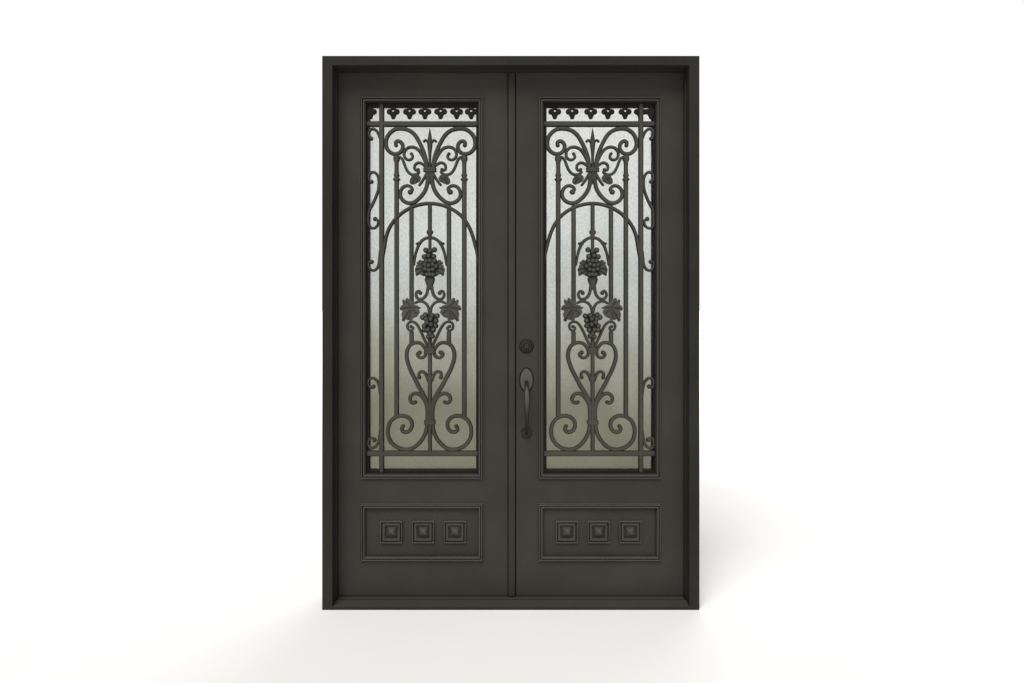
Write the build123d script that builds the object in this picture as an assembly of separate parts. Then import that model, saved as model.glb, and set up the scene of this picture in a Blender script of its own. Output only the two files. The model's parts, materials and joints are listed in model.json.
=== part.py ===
"""Pair of wrought-iron entrance doors in a steel frame, built as separate named pieces.

Millimetres. +Z is up, -Y is the outside of the house, +X is to the right seen from outside.
The origin is the centre of the threshold's underside. The left leaf is drawn, and the pieces
that are alike on both leaves are mirrored for the right leaf.
"""
import os
from math import acos, ceil, radians, sqrt

from build123d import *

# Frame
FRAME_WIDTH = 1660
FRAME_HEIGHT = 2438
JAMB_FACE = 44
HEAD_FACE = 40
STOP_DEPTH = 65
STOP_OVERLAP = 14
LEAF_GAP = 5
THRESHOLD_NOSE = 13
THRESHOLD_TOP = 18
THRESHOLD_SLOPE = 45
THRESHOLD_GROOVE = 4
THRESHOLD_GROOVE_DEPTH = 3
ANCHOR_RADIUS = 5.5
ANCHOR_SHARES = (0.75, 0.25)

# Leaves: the widths of stiles and rails that show round the window and the kick panel
LEAF_THICKNESS = 60
LEFT_EDGE = 16
MEETING_GAP = 8
WINDOW_NEAR = 124
STILE_SHOWN = 104
TOP_RAIL_SHOWN = 113
MIDDLE_RAIL_SHOWN = 109
BOTTOM_RAIL_SHOWN = 161
KICK_HEIGHT = 263
KICK_RECESS = 6
ASTRAGAL_WIDTH = 31
ASTRAGAL_PROUD = 7

# Mouldings: a flat band with two raised ridges
MOULDING_WIDTH = 24
MOULDING_BASE = 2
MOULDING_PROUD = 9
RIDGE_WIDTH = 8
RIDGE_INSET = 12

# Square bosses of the kick panel, as shares of the panel's width, of their pitch and of their size
BOSS_COUNT = 3
BOSS_SHIFT = 5
BOSS_PITCH_SHARE = 0.2824
BOSS_SIZE_SHARE = 0.694
BOSS_RIDGE_SHARE = 0.7
BOSS_PYRAMID_SHARE = 0.47
BOSS_PLATE = 2
BOSS_RIM = 6
BOSS_RIM_HEIGHT = 8
BOSS_PYRAMID_HEIGHT = 12
BOSS_PYRAMID_TAPER = 62

# Glazing
GLASS_THICKNESS = 6
GLASS_INSET = 5
FRONT_BEAD_WIDTH = 9
FRONT_BEAD_DEPTH = 8
BACK_BEAD_WIDTH = 12

# Grille depths, measured back from the outer face of the leaf
BAR_INSET = 7
BAR_DEPTH = 18
SCROLL_SETBACK = 2
SCROLL_DEPTH = 14
COLLAR_PROUD = 4
CRESTING_SETBACK = 5
CRESTING_DEPTH = 8
LEAF_PLATE = 5
GRAPE_BASE = 6
GRAPE_TOP = 8
GRAPE_TAPER = 36
GRAPE_TWIST = 17
GRAPE_SIDES = 6

# Hinges
HINGE_SHARES = (0.136, 0.5, 0.866)
HINGE_OFFSET = 2.5
HINGE_STANDOFF = 11.5
BARREL_RADIUS = 9
BARREL_LENGTH = 60
BARREL_GAP = 1
PIN_RADIUS = 6
PIN_CLEARANCE = 0.05
PIN_LENGTH = 46
PIN_END_GAP = 3
HINGE_PLATE = 5
HINGE_PLATE_INSET = 1
LEAF_PLATE_WIDTH = 35
JAMB_PLATE_WIDTH = 22
WEB_WIDTH = 6

# Lock and pull handle on the right leaf
LOCK_X = 71
DEADBOLT_Z = 1154
ROSE_RADIUS = 31
ROSE_DEPTH = 7
ROSE_STEP_RADIUS = 23
ROSE_STEP_DEPTH = 5
CYLINDER_RADIUS = 11
CYLINDER_DEPTH = 3
HANDLE_Z = 1001
PLATE_WIDTH = 62
PLATE_HEIGHT = 107
PLATE_DEPTH = 7
FOOT_Z = 762
FOOT_RADIUS = 23.5
GRIP_REACH = 62
GRIP_THICK = 14
GRIP_WIDTH = 22
GRIP_FOOT_WIDTH = 12
GRIP_DROP_SHARES = (0, 0.05, 0.36, 0.74, 0.97, 1)
GRIP_REACH_SHARES = (0, 0.62, 1, 0.84, 0.42, 0)
LEVER_NECK_RADIUS = 9
LEVER_NECK_LENGTH = 34
LEVER_LENGTH = 112
LEVER_HEIGHT = 20
LEVER_DEPTH = 12
TURN_LENGTH = 42
TURN_WIDTH = 9
TURN_DEPTH = 20

# Bent bars are made of short straight runs, limited in their turn and in how far they cut the curve
RUN_TURN = radians(36)
RUN_SAG = 1.2
DISC_SIDES = 8

# Photo pixels of the left leaf: the edges of its window and the axis of its ornament
HINGE_EDGE_PX = 367.1
LOCK_EDGE_PX = 478.8
TOP_EDGE_PX = 103.55
BOTTOM_EDGE_PX = 472.8
AXIS_PX = 430

# Widths of bars and scrolls in photo pixels
BORDER_BAR_WIDE_PX = 4.8
RAIL_WIDE_PX = 5.6
OUTER_BAR_WIDE_PX = 4.6
INNER_BAR_WIDE_PX = 4.2
CENTRE_BAR_WIDE_PX = 4
ARCH_WIDE_PX = 3.5
BIG_SCROLL_WIDE_PX = 3.7
HEART_WIDE_PX = 3.4
SMALL_SCROLL_WIDE_PX = 2.7
BORDER_SCROLL_WIDE_PX = 2.3

# Straight bars of the grille
BORDER_BAR_PX = 381.75
RAIL_PX = (123.9, 453.6)
OUTER_BAR_PX = 396.7
OUTER_BAR_ENDS_PX = (156, 415.3)
INNER_BAR_PX = 411.4
INNER_BAR_ENDS_PX = (207, 312)
CENTRE_BAR_ENDS_PX = (203.5, 237)
BAR_CAP_PX = (392.7, 156, 400.7, 161)
BAR_RING_PX = (393.4, 177.5, 400, 181)
CENTRE_KNOB_PX = (426.7, 230, 433.3, 235.5)
ARCH_PX = ((384.3, 249.2), (397.7, 216.9), (430, 203.5), (462.4, 217), (475.2, 244), (478.4, 262))

# Scrolls along the border, one chain of points each
BORDER_SCROLLS_PX = (
    ((381, 139), (375.5, 129.8), (369.2, 134), (371, 138.8)),
    ((372, 182), (369.2, 176), (374, 171.8), (378.9, 183), (373, 203), (369, 217), (373.3, 228.4),
     (378, 222.5), (375, 219)),
    ((381, 254), (378.6, 264), (373, 270.5), (369, 265), (374, 262)),
    ((381, 393), (378.6, 381.6), (372.5, 377.4), (369, 383), (372, 388)),
    ((381, 432), (378.2, 442.6), (372.5, 448), (369, 443), (374, 440)),
)

# Crown of scrolls above the arch
BIG_CROWN_PX = (
    (428, 162), (419, 142), (400, 128.1), (385.8, 142), (394, 154), (403, 147), (397.5, 140), (396, 145.7),
)
MEDIUM_CROWN_PX = ((427, 164), (420, 151.5), (410, 146.6), (403.8, 154), (409, 160), (411.8, 154))
SMALL_CROWN_PX = ((427, 168.5), (418, 162.6), (414.8, 167.5), (419.5, 169.8))
TENDRIL_PX = ((399.5, 156), (405.5, 166.5), (411.5, 174.8), (418.5, 170.5))
LOWER_CROWN_PX = ((428.5, 168), (426.5, 186), (413, 202.9), (400.5, 193), (406.5, 185.7), (412.5, 190.5))
LOWER_CROWN_BALL_PX = (410.2, 191.6)
BALL_PX = 2.3
CROWN_TAIL_PX = ((427, 174), (422.5, 181.5), (419, 187))
FINIAL_PX = ((430, 127.8), (431.3, 133), (432.4, 140), (431.6, 147), (432.6, 160), (433, 169))
FINIAL_ARMS_PX = (424, 139.6, 436, 141.4)
CROWN_COLLAR_PX = (423.8, 167.6, 436.2, 172)

# Vine below the arch
SMALL_ARCH_PX = ((430, 237.8), (421, 241.5), (412, 263))
BUD_PX = (418.3, 243.7)
BUD_RADIUS_PX = 1.8
STEM_PX = (428.5, 236, 431.5, 289)
POST_PX = (428, 308, 432, 453.6)
CALYX_PX = ((430, 277), (434, 277), (435, 280), (434.2, 284), (432.6, 289), (430, 289))
LYRE_PX = ((429, 283), (425.5, 296), (419.5, 299.7), (415.3, 294.6), (419, 290.4))
LYRE_BALL_PX = (419, 291.8)
LEAF_STEM_PX = ((429.5, 312), (424, 302), (411, 303))
LEAF_CURL_PX = ((429.5, 349), (418, 328), (411, 321.8), (406.7, 326.5), (411.5, 330.8))
LEAF_CURL_BALL_PX = (411.4, 329)
LEAF_CURL_POST_PX = (409.5, 329, 413.5, 345)
HEART_PX = (
    (429.5, 411), (414.5, 378), (406.8, 354), (416.5, 342.6), (426.3, 352), (421, 358.2), (417.2, 354.8),
)
HEART_BALL_PX = (418.6, 354.2)
HEART_COLLAR_PX = (424, 346, 436, 356)
STEM_CURL_PX = ((429.5, 384), (426.3, 374.5), (421.5, 371.4), (418.8, 375))
STEM_CURL_BALL_PX = (419.6, 375.6)
STEM_KNOB_PX = (427, 376, 433, 382)
BASE_PX = (
    (416, 402.4), (410.8, 398), (416, 393), (424.5, 403.5), (427, 420), (418.5, 444), (404, 449.5),
    (387.8, 431), (402, 415.3), (412.3, 424), (405.5, 432.4), (401.6, 429.6),
)
BASE_BALL_PX = (402.6, 428.4)
BASE_COLLAR_PX = (424, 419.5, 436, 424.5)

# Castings
MID_LEAF_PX = (
    (404, 298), (406.5, 300.5), (409, 297.5), (411, 301.5), (413, 304), (416, 303.5), (421, 307.5),
    (418.5, 309.5), (420, 312), (416.5, 313), (416.5, 317), (413, 316.5), (411, 319), (408, 318),
    (403.5, 322), (404.5, 317.5), (402.5, 316), (404, 312.5), (400.3, 309), (403.5, 307.5),
    (402.5, 304), (405, 303.5),
)
CROWN_LEAF_PX = (
    (411.6, 174), (416.5, 173.6), (420.4, 175.4), (421.4, 180), (420.6, 184.6), (414.5, 185),
    (411, 184.5), (410, 181.5), (411.5, 179),
)
GRAPE_LEAF_PX = (
    (419.5, 260), (416, 264), (418, 266), (415.3, 270.5), (417.5, 272), (417.5, 276), (421, 274.5),
    (424, 276), (427, 272), (427, 262), (423, 262.5),
)
UPPER_GRAPES_PX = (
    (425.9, 250.3), (430.4, 251.2), (434.6, 250.1), (424.4, 256.5), (428.9, 256), (433.5, 256.8),
    (425.4, 262), (429.6, 261.2), (433.8, 262.2), (427.8, 266.6), (432.2, 266.8), (425, 268.4),
    (429.8, 271.2), (427.8, 275), (431.6, 275),
)
LOWER_GRAPES_PX = (
    (423.4, 316.8), (427.4, 315), (432.4, 315.4), (437, 316.6), (430, 318.8), (426.2, 321.4), (435.4, 321.2),
    (431.4, 323.8), (424.2, 326), (428.4, 326.4), (435.6, 326.2), (424.2, 330.4), (428.2, 331), (432.8, 330.4),
    (430.2, 334.4), (427.8, 337), (432.6, 336.2),
)
UPPER_GRAPE_RADIUS_PX = 3
LOWER_GRAPE_RADIUS_PX = 3.1

# Flowers hanging from a strip along the top of the window
LEFT_FLOWERS_PX = (371.8, 393.3, 409.6, 425, 440.7, 456.7, 471.3)
RIGHT_FLOWERS_PX = (371.8, 379.4, 396.6, 413.7, 430.9, 449.5, 466.9)
FLOWER_PX = 110.8
STRIP_BOTTOM_PX = 108.3
PETAL_SIDE_PX = 4
PETAL_DROP_PX = 5.4
PETAL_RADIUS_PX = 2.9
FLOWER_HEART_PX = 3.8
FLOWER_HOLE_PX = 1.3

# Places that follow from the sizes above
FRAME_DEPTH = STOP_DEPTH + LEAF_GAP + LEAF_THICKNESS
half_width = FRAME_WIDTH / 2
front = -FRAME_DEPTH / 2
back = FRAME_DEPTH / 2
stop_back = front + STOP_DEPTH
stop_edge = half_width - JAMB_FACE
leaf_edge = stop_edge + STOP_OVERLAP
rebate_edge = leaf_edge + LEAF_GAP
head_bottom = FRAME_HEIGHT - HEAD_FACE
leaf_top = head_bottom + STOP_OVERLAP
leaf_bottom = THRESHOLD_TOP + LEAF_GAP
leaf_front = stop_back + LEAF_GAP
leaf_back = leaf_front + LEAF_THICKNESS
right_edge = LEFT_EDGE + MEETING_GAP
kick_bottom = THRESHOLD_TOP + BOTTOM_RAIL_SHOWN
window_bottom = kick_bottom + KICK_HEIGHT + MIDDLE_RAIL_SHOWN
window_height = head_bottom - TOP_RAIL_SHOWN - window_bottom
window_width = stop_edge - STILE_SHOWN - WINDOW_NEAR
middle_x = WINDOW_NEAR + window_width / 2
window_z = window_bottom + window_height / 2
kick_z = kick_bottom + KICK_HEIGHT / 2
opening_near = WINDOW_NEAR + MOULDING_WIDTH
opening_width = window_width - 2 * MOULDING_WIDTH
opening_far = opening_near + opening_width
opening_bottom = window_bottom + MOULDING_WIDTH
opening_height = window_height - 2 * MOULDING_WIDTH
opening_top = opening_bottom + opening_height
kick_low = kick_bottom + MOULDING_WIDTH
kick_high = kick_bottom + KICK_HEIGHT - MOULDING_WIDTH
boss_pitch = opening_width * BOSS_PITCH_SHARE
boss_size = boss_pitch * BOSS_SIZE_SHARE
bar_front = leaf_front + BAR_INSET
bar_back = bar_front + BAR_DEPTH
scroll_front = bar_front + SCROLL_SETBACK
scroll_back = scroll_front + SCROLL_DEPTH
glass_back = leaf_back - GLASS_INSET
glass_front = glass_back - GLASS_THICKNESS
hinge_x = leaf_edge + HINGE_OFFSET
hinge_y = leaf_back + HINGE_STANDOFF
pixel_x = opening_width / (LOCK_EDGE_PX - HINGE_EDGE_PX)
pixel_z = opening_height / (BOTTOM_EDGE_PX - TOP_EDGE_PX)
pixel = (pixel_x + pixel_z) / 2
axis_x = -(opening_near + (LOCK_EDGE_PX - AXIS_PX) * pixel_x)


def block(x0, x1, y0, y1, z0, z1):
    """A plain box between two places on each axis."""
    middle = ((x0 + x1) / 2, (y0 + y1) / 2, (z0 + z1) / 2)
    return Pos(*middle) * Box(abs(x1 - x0), abs(y1 - y0), abs(z1 - z0))


def facing_out(x, y, z):
    """A plane on which sketches stand upright and heights grow towards the outside."""
    return Plane(origin=(x, y, z), x_dir=(1, 0, 0), z_dir=(0, -1, 0))


def facing_in(x, y, z):
    """A plane on which sketches stand upright and heights grow towards the inside."""
    return Plane(origin=(x, y, z), x_dir=(-1, 0, 0), z_dir=(0, 1, 0))


def other_side(shape):
    """The same shape on the right leaf."""
    return mirror(shape, about=Plane.YZ)


def place(point):
    """A photo pixel as a place on the left leaf, across from the ornament's axis and up from the floor."""
    across = (point[0] - AXIS_PX) * pixel_x
    return Vector(across, opening_bottom + (BOTTOM_EDGE_PX - point[1]) * pixel_z)


def patch(corners):
    """A rectangle between two photo pixels."""
    low = place(corners[:2])
    high = place(corners[2:])
    middle = (low + high) * 0.5
    return Pos(middle.X, middle.Y) * Rectangle(abs(high.X - low.X), abs(high.Y - low.Y))


def window():
    """The window's opening as a flat shape."""
    return patch((HINGE_EDGE_PX, TOP_EDGE_PX, LOCK_EDGE_PX, BOTTOM_EDGE_PX))


def strip(column, ends, wide_px):
    """An upright flat strip at one pixel column, between two pixel rows."""
    return patch((column - wide_px / 2, ends[0], column + wide_px / 2, ends[1]))


def outline(points):
    """A closed flat shape through photo pixels."""
    return make_face(Polyline([place(point) for point in points], close=True))


def disc(point, radius_px):
    """A round flat shape of few sides about a photo pixel."""
    middle = place(point)
    return Pos(middle.X, middle.Y) * RegularPolygon(radius_px * pixel, DISC_SIDES)


def both_halves(shape):
    """A flat shape and its mirror image about the ornament's axis."""
    return [shape, mirror(shape, about=Plane.YZ)]


def tangents(points):
    """Directions along a chain, each from the circle through a point and its two neighbours."""
    inner = []
    for before, here, after in zip(points, points[1:], points[2:]):
        come = here - before
        leave = after - here
        inner.append((come * (1 / come.length**2) + leave * (1 / leave.length**2)).normalized())
    first = (points[1] - points[0]).normalized()
    last = (points[-1] - points[-2]).normalized()
    start = first * (2 * first.dot(inner[0])) - inner[0]
    end = last * (2 * last.dot(inner[-1])) - inner[-1]
    return [start, *inner, end]


def arcs(points):
    """The chain as pairs of arcs that meet smoothly, each as start, start direction and end."""
    found = []
    ways = tangents(points)
    for here, way, there, onward in zip(points, ways, points[1:], ways[1:]):
        step = there - here
        turn = 2 * (1 - way.dot(onward))
        along = step.dot(way + onward)
        square = step.dot(step)
        reach = square / (sqrt(along**2 + turn * square) + along)
        joint = (here + there + (way - onward) * reach) * 0.5
        chord = (joint - here).normalized()
        found.append((here, way, joint))
        found.append((joint, chord * (2 * chord.dot(way)) - way, there))
    return found


def side(arc, offset):
    """The straight runs that stand for a curve beside an arc, at a distance to its left."""
    here, way, there = arc
    chord = there - here
    along = chord.normalized()
    lean = (way + along).normalized()
    middle = here + lean * (chord.length / (2 * lean.dot(along)))
    onward = along * (2 * along.dot(way)) - way
    ends = []
    for point, direction in ((here, way), (middle, along), (there, onward)):
        ends.append(point + Vector(-direction.Y, direction.X) * offset)
    bend = (ends[1] - ends[0]).cross(ends[2] - ends[1])
    if abs(bend.Z) < RUN_SAG * chord.length:
        return [Line(ends[0], ends[2])]
    curve = ThreePointArc(*ends)
    run = min(RUN_TURN, 2 * acos(1 - RUN_SAG / curve.radius))
    count = ceil(curve.length / curve.radius / run)
    stops = [curve @ (index / count) for index in range(count + 1)]
    return [Line(*pair) for pair in zip(stops, stops[1:])]


def bent_bar(points, width):
    """A bent bar of even width along a chain of points, as a flat shape."""
    chain = arcs(points)
    left = [run for arc in chain for run in side(arc, width / 2)]
    right = [run for arc in chain for run in side(arc, -width / 2)]
    end_cap = Line(left[-1] @ 1, right[-1] @ 1)
    start_cap = Line(right[0] @ 0, left[0] @ 0)
    return make_face([*left, end_cap, *right, start_cap])


def scroll(points, wide_px):
    """A bent bar along a chain of photo pixels."""
    return bent_bar([place(point) for point in points], wide_px * pixel)


def raised(shapes, face, depth):
    """Flat shapes joined, placed on the left leaf with their front at a place and given depth."""
    flat = Sketch() + shapes
    return extrude(facing_out(axis_x, face + depth, 0) * flat, amount=depth)


def ring(width, height, band, depth):
    """A flat rectangular ring."""
    return extrude(Rectangle(width, height) - Rectangle(width - 2 * band, height - 2 * band), depth)


def jamb():
    """The left post: a stop in front and a thinner part behind it, with holes for wall anchors."""
    post = block(-half_width, -stop_edge, front, stop_back, 0, FRAME_HEIGHT)
    post += block(-half_width, -rebate_edge, stop_back, back, 0, FRAME_HEIGHT)
    hole = Rot(0, 90, 0) * Cylinder(ANCHOR_RADIUS, FRAME_WIDTH)
    for share in ANCHOR_SHARES:
        for way in (-1, 1):
            height = FRAME_HEIGHT * (1 + way * share) / 2
            post -= Pos(-half_width, (stop_back + back) / 2, height) * hole
    return post


def head(posts):
    """The top member, fitted between the posts."""
    bar = block(-half_width, half_width, front, stop_back, head_bottom, FRAME_HEIGHT)
    bar += block(-half_width, half_width, stop_back, back, leaf_top + LEAF_GAP, FRAME_HEIGHT)
    return bar - posts


def threshold(posts):
    """The low sill under the leaves: a slope with a groove behind it, then a flat."""
    slope_end = front + THRESHOLD_SLOPE
    groove_end = slope_end + THRESHOLD_GROOVE
    groove_floor = THRESHOLD_TOP - THRESHOLD_GROOVE_DEPTH
    corners = [
        (front, 0), (front, THRESHOLD_NOSE), (slope_end, THRESHOLD_TOP), (slope_end, groove_floor),
        (groove_end, groove_floor), (groove_end, THRESHOLD_TOP), (back, THRESHOLD_TOP), (back, 0),
    ]
    section = make_face(Polyline(corners, close=True))
    upright = Plane(origin=(-rebate_edge, 0, 0), x_dir=(0, 1, 0), z_dir=(1, 0, 0))
    return extrude(upright * section, amount=2 * rebate_edge) - posts


def hinge_places():
    """The bottom of each hinge on the left side."""
    return [(-hinge_x, hinge_y, share * FRAME_HEIGHT - BARREL_LENGTH) for share in HINGE_SHARES]


def hinge_pins():
    """The fixed halves of the left hinges: plate, lower barrel and the pin standing in it."""
    half = []
    for x, y, z in hinge_places():
        top = z + BARREL_LENGTH
        plate_end = -rebate_edge - HINGE_PLATE_INSET
        piece = Pos(x, y, z + BARREL_LENGTH / 2) * Cylinder(BARREL_RADIUS, BARREL_LENGTH)
        piece += block(plate_end - JAMB_PLATE_WIDTH, plate_end, back, back + HINGE_PLATE, z, top)
        piece += block(plate_end - WEB_WIDTH, plate_end, back, y, z, top)
        pin_length = BARREL_GAP + PIN_LENGTH
        piece += Pos(x, y, top + pin_length / 2) * Cylinder(PIN_RADIUS, pin_length)
        half.append(piece)
    return Compound(children=half)


def hinge_barrels():
    """The moving halves of the left hinges: plate and upper barrel with a blind bore for the pin."""
    half = []
    for x, y, z in hinge_places():
        low = z + BARREL_LENGTH + BARREL_GAP
        high = low + BARREL_LENGTH
        plate_end = -leaf_edge + HINGE_PLATE_INSET
        piece = Pos(x, y, (low + high) / 2) * Cylinder(BARREL_RADIUS, BARREL_LENGTH)
        piece += block(plate_end, plate_end + LEAF_PLATE_WIDTH, leaf_back, leaf_back + HINGE_PLATE, low, high)
        piece += block(plate_end, plate_end + WEB_WIDTH, leaf_back, y, low, high)
        bore_length = PIN_LENGTH + PIN_END_GAP
        piece -= Pos(x, y, low + bore_length / 2) * Cylinder(PIN_RADIUS + PIN_CLEARANCE, bore_length)
        half.append(piece)
    return Compound(children=half)


def hinge_stile():
    """The upright of the left leaf beside its hinges."""
    return block(-leaf_edge, -opening_far, leaf_front, leaf_back, leaf_bottom, leaf_top)


def lock_stile(edge):
    """The upright beside the meeting line, out to an edge given on the left side."""
    return block(-opening_near, edge, leaf_front, leaf_back, leaf_bottom, leaf_top)


def rail(low, high):
    """A cross member of the left leaf."""
    return block(-opening_far, -opening_near, leaf_front, leaf_back, low, high)


def astragal():
    """The strip that covers the meeting edge of the left leaf."""
    face = leaf_front - ASTRAGAL_PROUD
    top = head_bottom - LEAF_GAP
    return block(LEFT_EDGE - ASTRAGAL_WIDTH, LEFT_EDGE, face, leaf_front, leaf_bottom, top)


def boss():
    """A square boss with a rim, an inner ridge and a low pyramid."""
    ridge = boss_size * BOSS_RIDGE_SHARE
    base = boss_size * BOSS_PYRAMID_SHARE
    piece = extrude(Rectangle(boss_size, boss_size), BOSS_PLATE)
    piece += ring(boss_size, boss_size, BOSS_RIM, BOSS_RIM_HEIGHT)
    piece += ring(ridge, ridge, BOSS_RIM, BOSS_RIM_HEIGHT)
    return piece + extrude(Rectangle(base, base), BOSS_PYRAMID_HEIGHT, taper=BOSS_PYRAMID_TAPER)


def kick_panel():
    """The recessed lower panel of the left leaf with its bosses on both faces."""
    outer = leaf_front + KICK_RECESS
    inner = leaf_back - KICK_RECESS
    panel = block(-opening_far, -opening_near, outer, inner, kick_low, kick_high)
    square = boss()
    for index in range(BOSS_COUNT):
        x = (index - (BOSS_COUNT - 1) / 2) * boss_pitch - middle_x + BOSS_SHIFT
        panel += facing_out(x, outer, kick_z) * square
        panel += facing_in(x, inner, kick_z) * square
    return panel


def moulding(width, height):
    """A rectangular moulding: a flat band with a ridge at its outer edge and one further in."""
    piece = ring(width, height, MOULDING_WIDTH, MOULDING_BASE)
    piece += ring(width, height, RIDGE_WIDTH, MOULDING_PROUD)
    inner = (width - 2 * RIDGE_INSET, height - 2 * RIDGE_INSET)
    piece += ring(*inner, RIDGE_WIDTH, MOULDING_PROUD)
    return piece


def mouldings():
    """The mouldings round the window and the kick panel, outside and inside."""
    pieces = []
    for z, height in ((window_z, window_height), (kick_z, KICK_HEIGHT)):
        band = moulding(window_width, height)
        pieces.append(facing_out(-middle_x, leaf_front, z) * band)
        pieces.append(facing_in(-middle_x, leaf_back, z) * band)
    return Compound(children=pieces)


def glass():
    """The pane of the left leaf."""
    return block(-opening_far, -opening_near, glass_front, glass_back, opening_bottom, opening_top)


def glass_beads():
    """The beads that hold the pane in front and behind."""
    before = ring(opening_width, opening_height, FRONT_BEAD_WIDTH, FRONT_BEAD_DEPTH)
    behind = ring(opening_width, opening_height, BACK_BEAD_WIDTH, GLASS_INSET)
    outer = facing_out(-middle_x, glass_front, window_z) * before
    inner = facing_in(-middle_x, glass_back, window_z) * behind
    return Compound(children=[outer, inner])


def grille_bars():
    """The straight bars, the arch and the border scrolls, welded into one flat lattice."""
    lines = [strip(BORDER_BAR_PX, (TOP_EDGE_PX, BOTTOM_EDGE_PX), BORDER_BAR_WIDE_PX)]
    for row in RAIL_PX:
        lines.append(patch((HINGE_EDGE_PX, row - RAIL_WIDE_PX / 2, LOCK_EDGE_PX, row + RAIL_WIDE_PX / 2)))
    lines.append(scroll(ARCH_PX, ARCH_WIDE_PX) & window())
    lines += both_halves(strip(OUTER_BAR_PX, OUTER_BAR_ENDS_PX, OUTER_BAR_WIDE_PX))
    lines += both_halves(patch(BAR_CAP_PX)) + both_halves(patch(BAR_RING_PX))
    lines += both_halves(strip(INNER_BAR_PX, INNER_BAR_ENDS_PX, INNER_BAR_WIDE_PX))
    lines += [strip(AXIS_PX, CENTRE_BAR_ENDS_PX, CENTRE_BAR_WIDE_PX), patch(CENTRE_KNOB_PX)]
    lines += [scroll(points, BORDER_SCROLL_WIDE_PX) for points in BORDER_SCROLLS_PX]
    return raised(lines, bar_front, BAR_DEPTH)


def collar(corners):
    """A wrapped band that stands out in front of the scrolls."""
    return raised([patch(corners)], scroll_front - COLLAR_PROUD, SCROLL_DEPTH + COLLAR_PROUD)


def crown():
    """The flat shapes of the scrolls and the finial above the arch."""
    finial = outline([*FINIAL_PX, (AXIS_PX, FINIAL_PX[-1][1])])
    lines = [*both_halves(finial), patch(FINIAL_ARMS_PX)]
    for points in (BIG_CROWN_PX, LOWER_CROWN_PX):
        lines += both_halves(scroll(points, BIG_SCROLL_WIDE_PX))
    for points in (MEDIUM_CROWN_PX, SMALL_CROWN_PX, TENDRIL_PX, CROWN_TAIL_PX):
        lines += both_halves(scroll(points, SMALL_SCROLL_WIDE_PX))
    return lines + both_halves(disc(LOWER_CROWN_BALL_PX, BALL_PX))


def vine():
    """The flat shapes of the stem, lyre, heart and base scrolls below the arch."""
    lines = [patch(STEM_PX), patch(POST_PX), patch(STEM_KNOB_PX)]
    lines += both_halves(outline(CALYX_PX)) + both_halves(disc(BUD_PX, BUD_RADIUS_PX))
    for points in (SMALL_ARCH_PX, LYRE_PX, LEAF_STEM_PX, LEAF_CURL_PX, STEM_CURL_PX):
        lines += both_halves(scroll(points, SMALL_SCROLL_WIDE_PX))
    for point in (LYRE_BALL_PX, LEAF_CURL_BALL_PX, STEM_CURL_BALL_PX, HEART_BALL_PX, BASE_BALL_PX):
        lines += both_halves(disc(point, BALL_PX))
    lines += both_halves(scroll(HEART_PX, HEART_WIDE_PX)) + both_halves(scroll(BASE_PX, BIG_SCROLL_WIDE_PX))
    return lines + both_halves(patch(LEAF_CURL_POST_PX))


def grille_scrolls(bars):
    """The crown and the vine with their collars, trimmed where they meet the bars."""
    pieces = []
    for lines, collars in ((crown(), (CROWN_COLLAR_PX,)), (vine(), (HEART_COLLAR_PX, BASE_COLLAR_PX))):
        body = raised(lines, scroll_front, SCROLL_DEPTH)
        for corners in collars:
            body += collar(corners)
        pieces.append(body - bars)
    return Compound(children=pieces)


def bead(point, radius_px, turn):
    """One faceted grape: a short prism under a tapered one."""
    middle = place(point)
    sides = RegularPolygon(radius_px * pixel, GRAPE_SIDES, rotation=turn)
    low = extrude(sides, GRAPE_BASE)
    high = Pos(0, 0, GRAPE_BASE) * extrude(sides, GRAPE_TOP, taper=GRAPE_TAPER)
    return facing_out(axis_x + middle.X, scroll_front, middle.Y) * (low + high)


def bunch(points, radius_px):
    """A bunch of grapes, joined where they touch."""
    return Part() + [bead(point, radius_px, index * GRAPE_TWIST) for index, point in enumerate(points)]


def grapes(scrolls):
    """The two bunches, the upper one with a leaf at each side, seated on the stem."""
    leaves = raised(both_halves(outline(GRAPE_LEAF_PX)), scroll_front - LEAF_PLATE, LEAF_PLATE)
    upper = bunch(UPPER_GRAPES_PX, UPPER_GRAPE_RADIUS_PX) + leaves
    lower = bunch(LOWER_GRAPES_PX, LOWER_GRAPE_RADIUS_PX)
    return Compound(children=[upper - scrolls, lower - scrolls])


def vine_leaves():
    """The leaves in front of the inner bars and on the tendrils of the crown."""
    plates = []
    for points, seat in ((MID_LEAF_PX, bar_front), (CROWN_LEAF_PX, scroll_front)):
        plates.append(raised(both_halves(outline(points)), seat - LEAF_PLATE, LEAF_PLATE))
    return Compound(children=plates)


def flower(column):
    """A four-petalled flower about one pixel column, with a hole in its middle."""
    petals = [disc((column, FLOWER_PX), FLOWER_HEART_PX)]
    for step in (-PETAL_SIDE_PX, PETAL_SIDE_PX):
        petals.append(disc((column + step, FLOWER_PX), PETAL_RADIUS_PX))
    for step in (-PETAL_DROP_PX, PETAL_DROP_PX):
        petals.append(disc((column, FLOWER_PX + step), PETAL_RADIUS_PX))
    return (Sketch() + petals) - disc((column, FLOWER_PX), FLOWER_HOLE_PX)


def flower_cresting(columns, bars):
    """A strip along the top of the window with flowers hanging from it."""
    lines = [patch((HINGE_EDGE_PX, TOP_EDGE_PX, LOCK_EDGE_PX, STRIP_BOTTOM_PX))]
    flowers = [flower(column) & window() for column in columns]
    return raised(lines + flowers, bar_front + CRESTING_SETBACK, CRESTING_DEPTH) - bars


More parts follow.
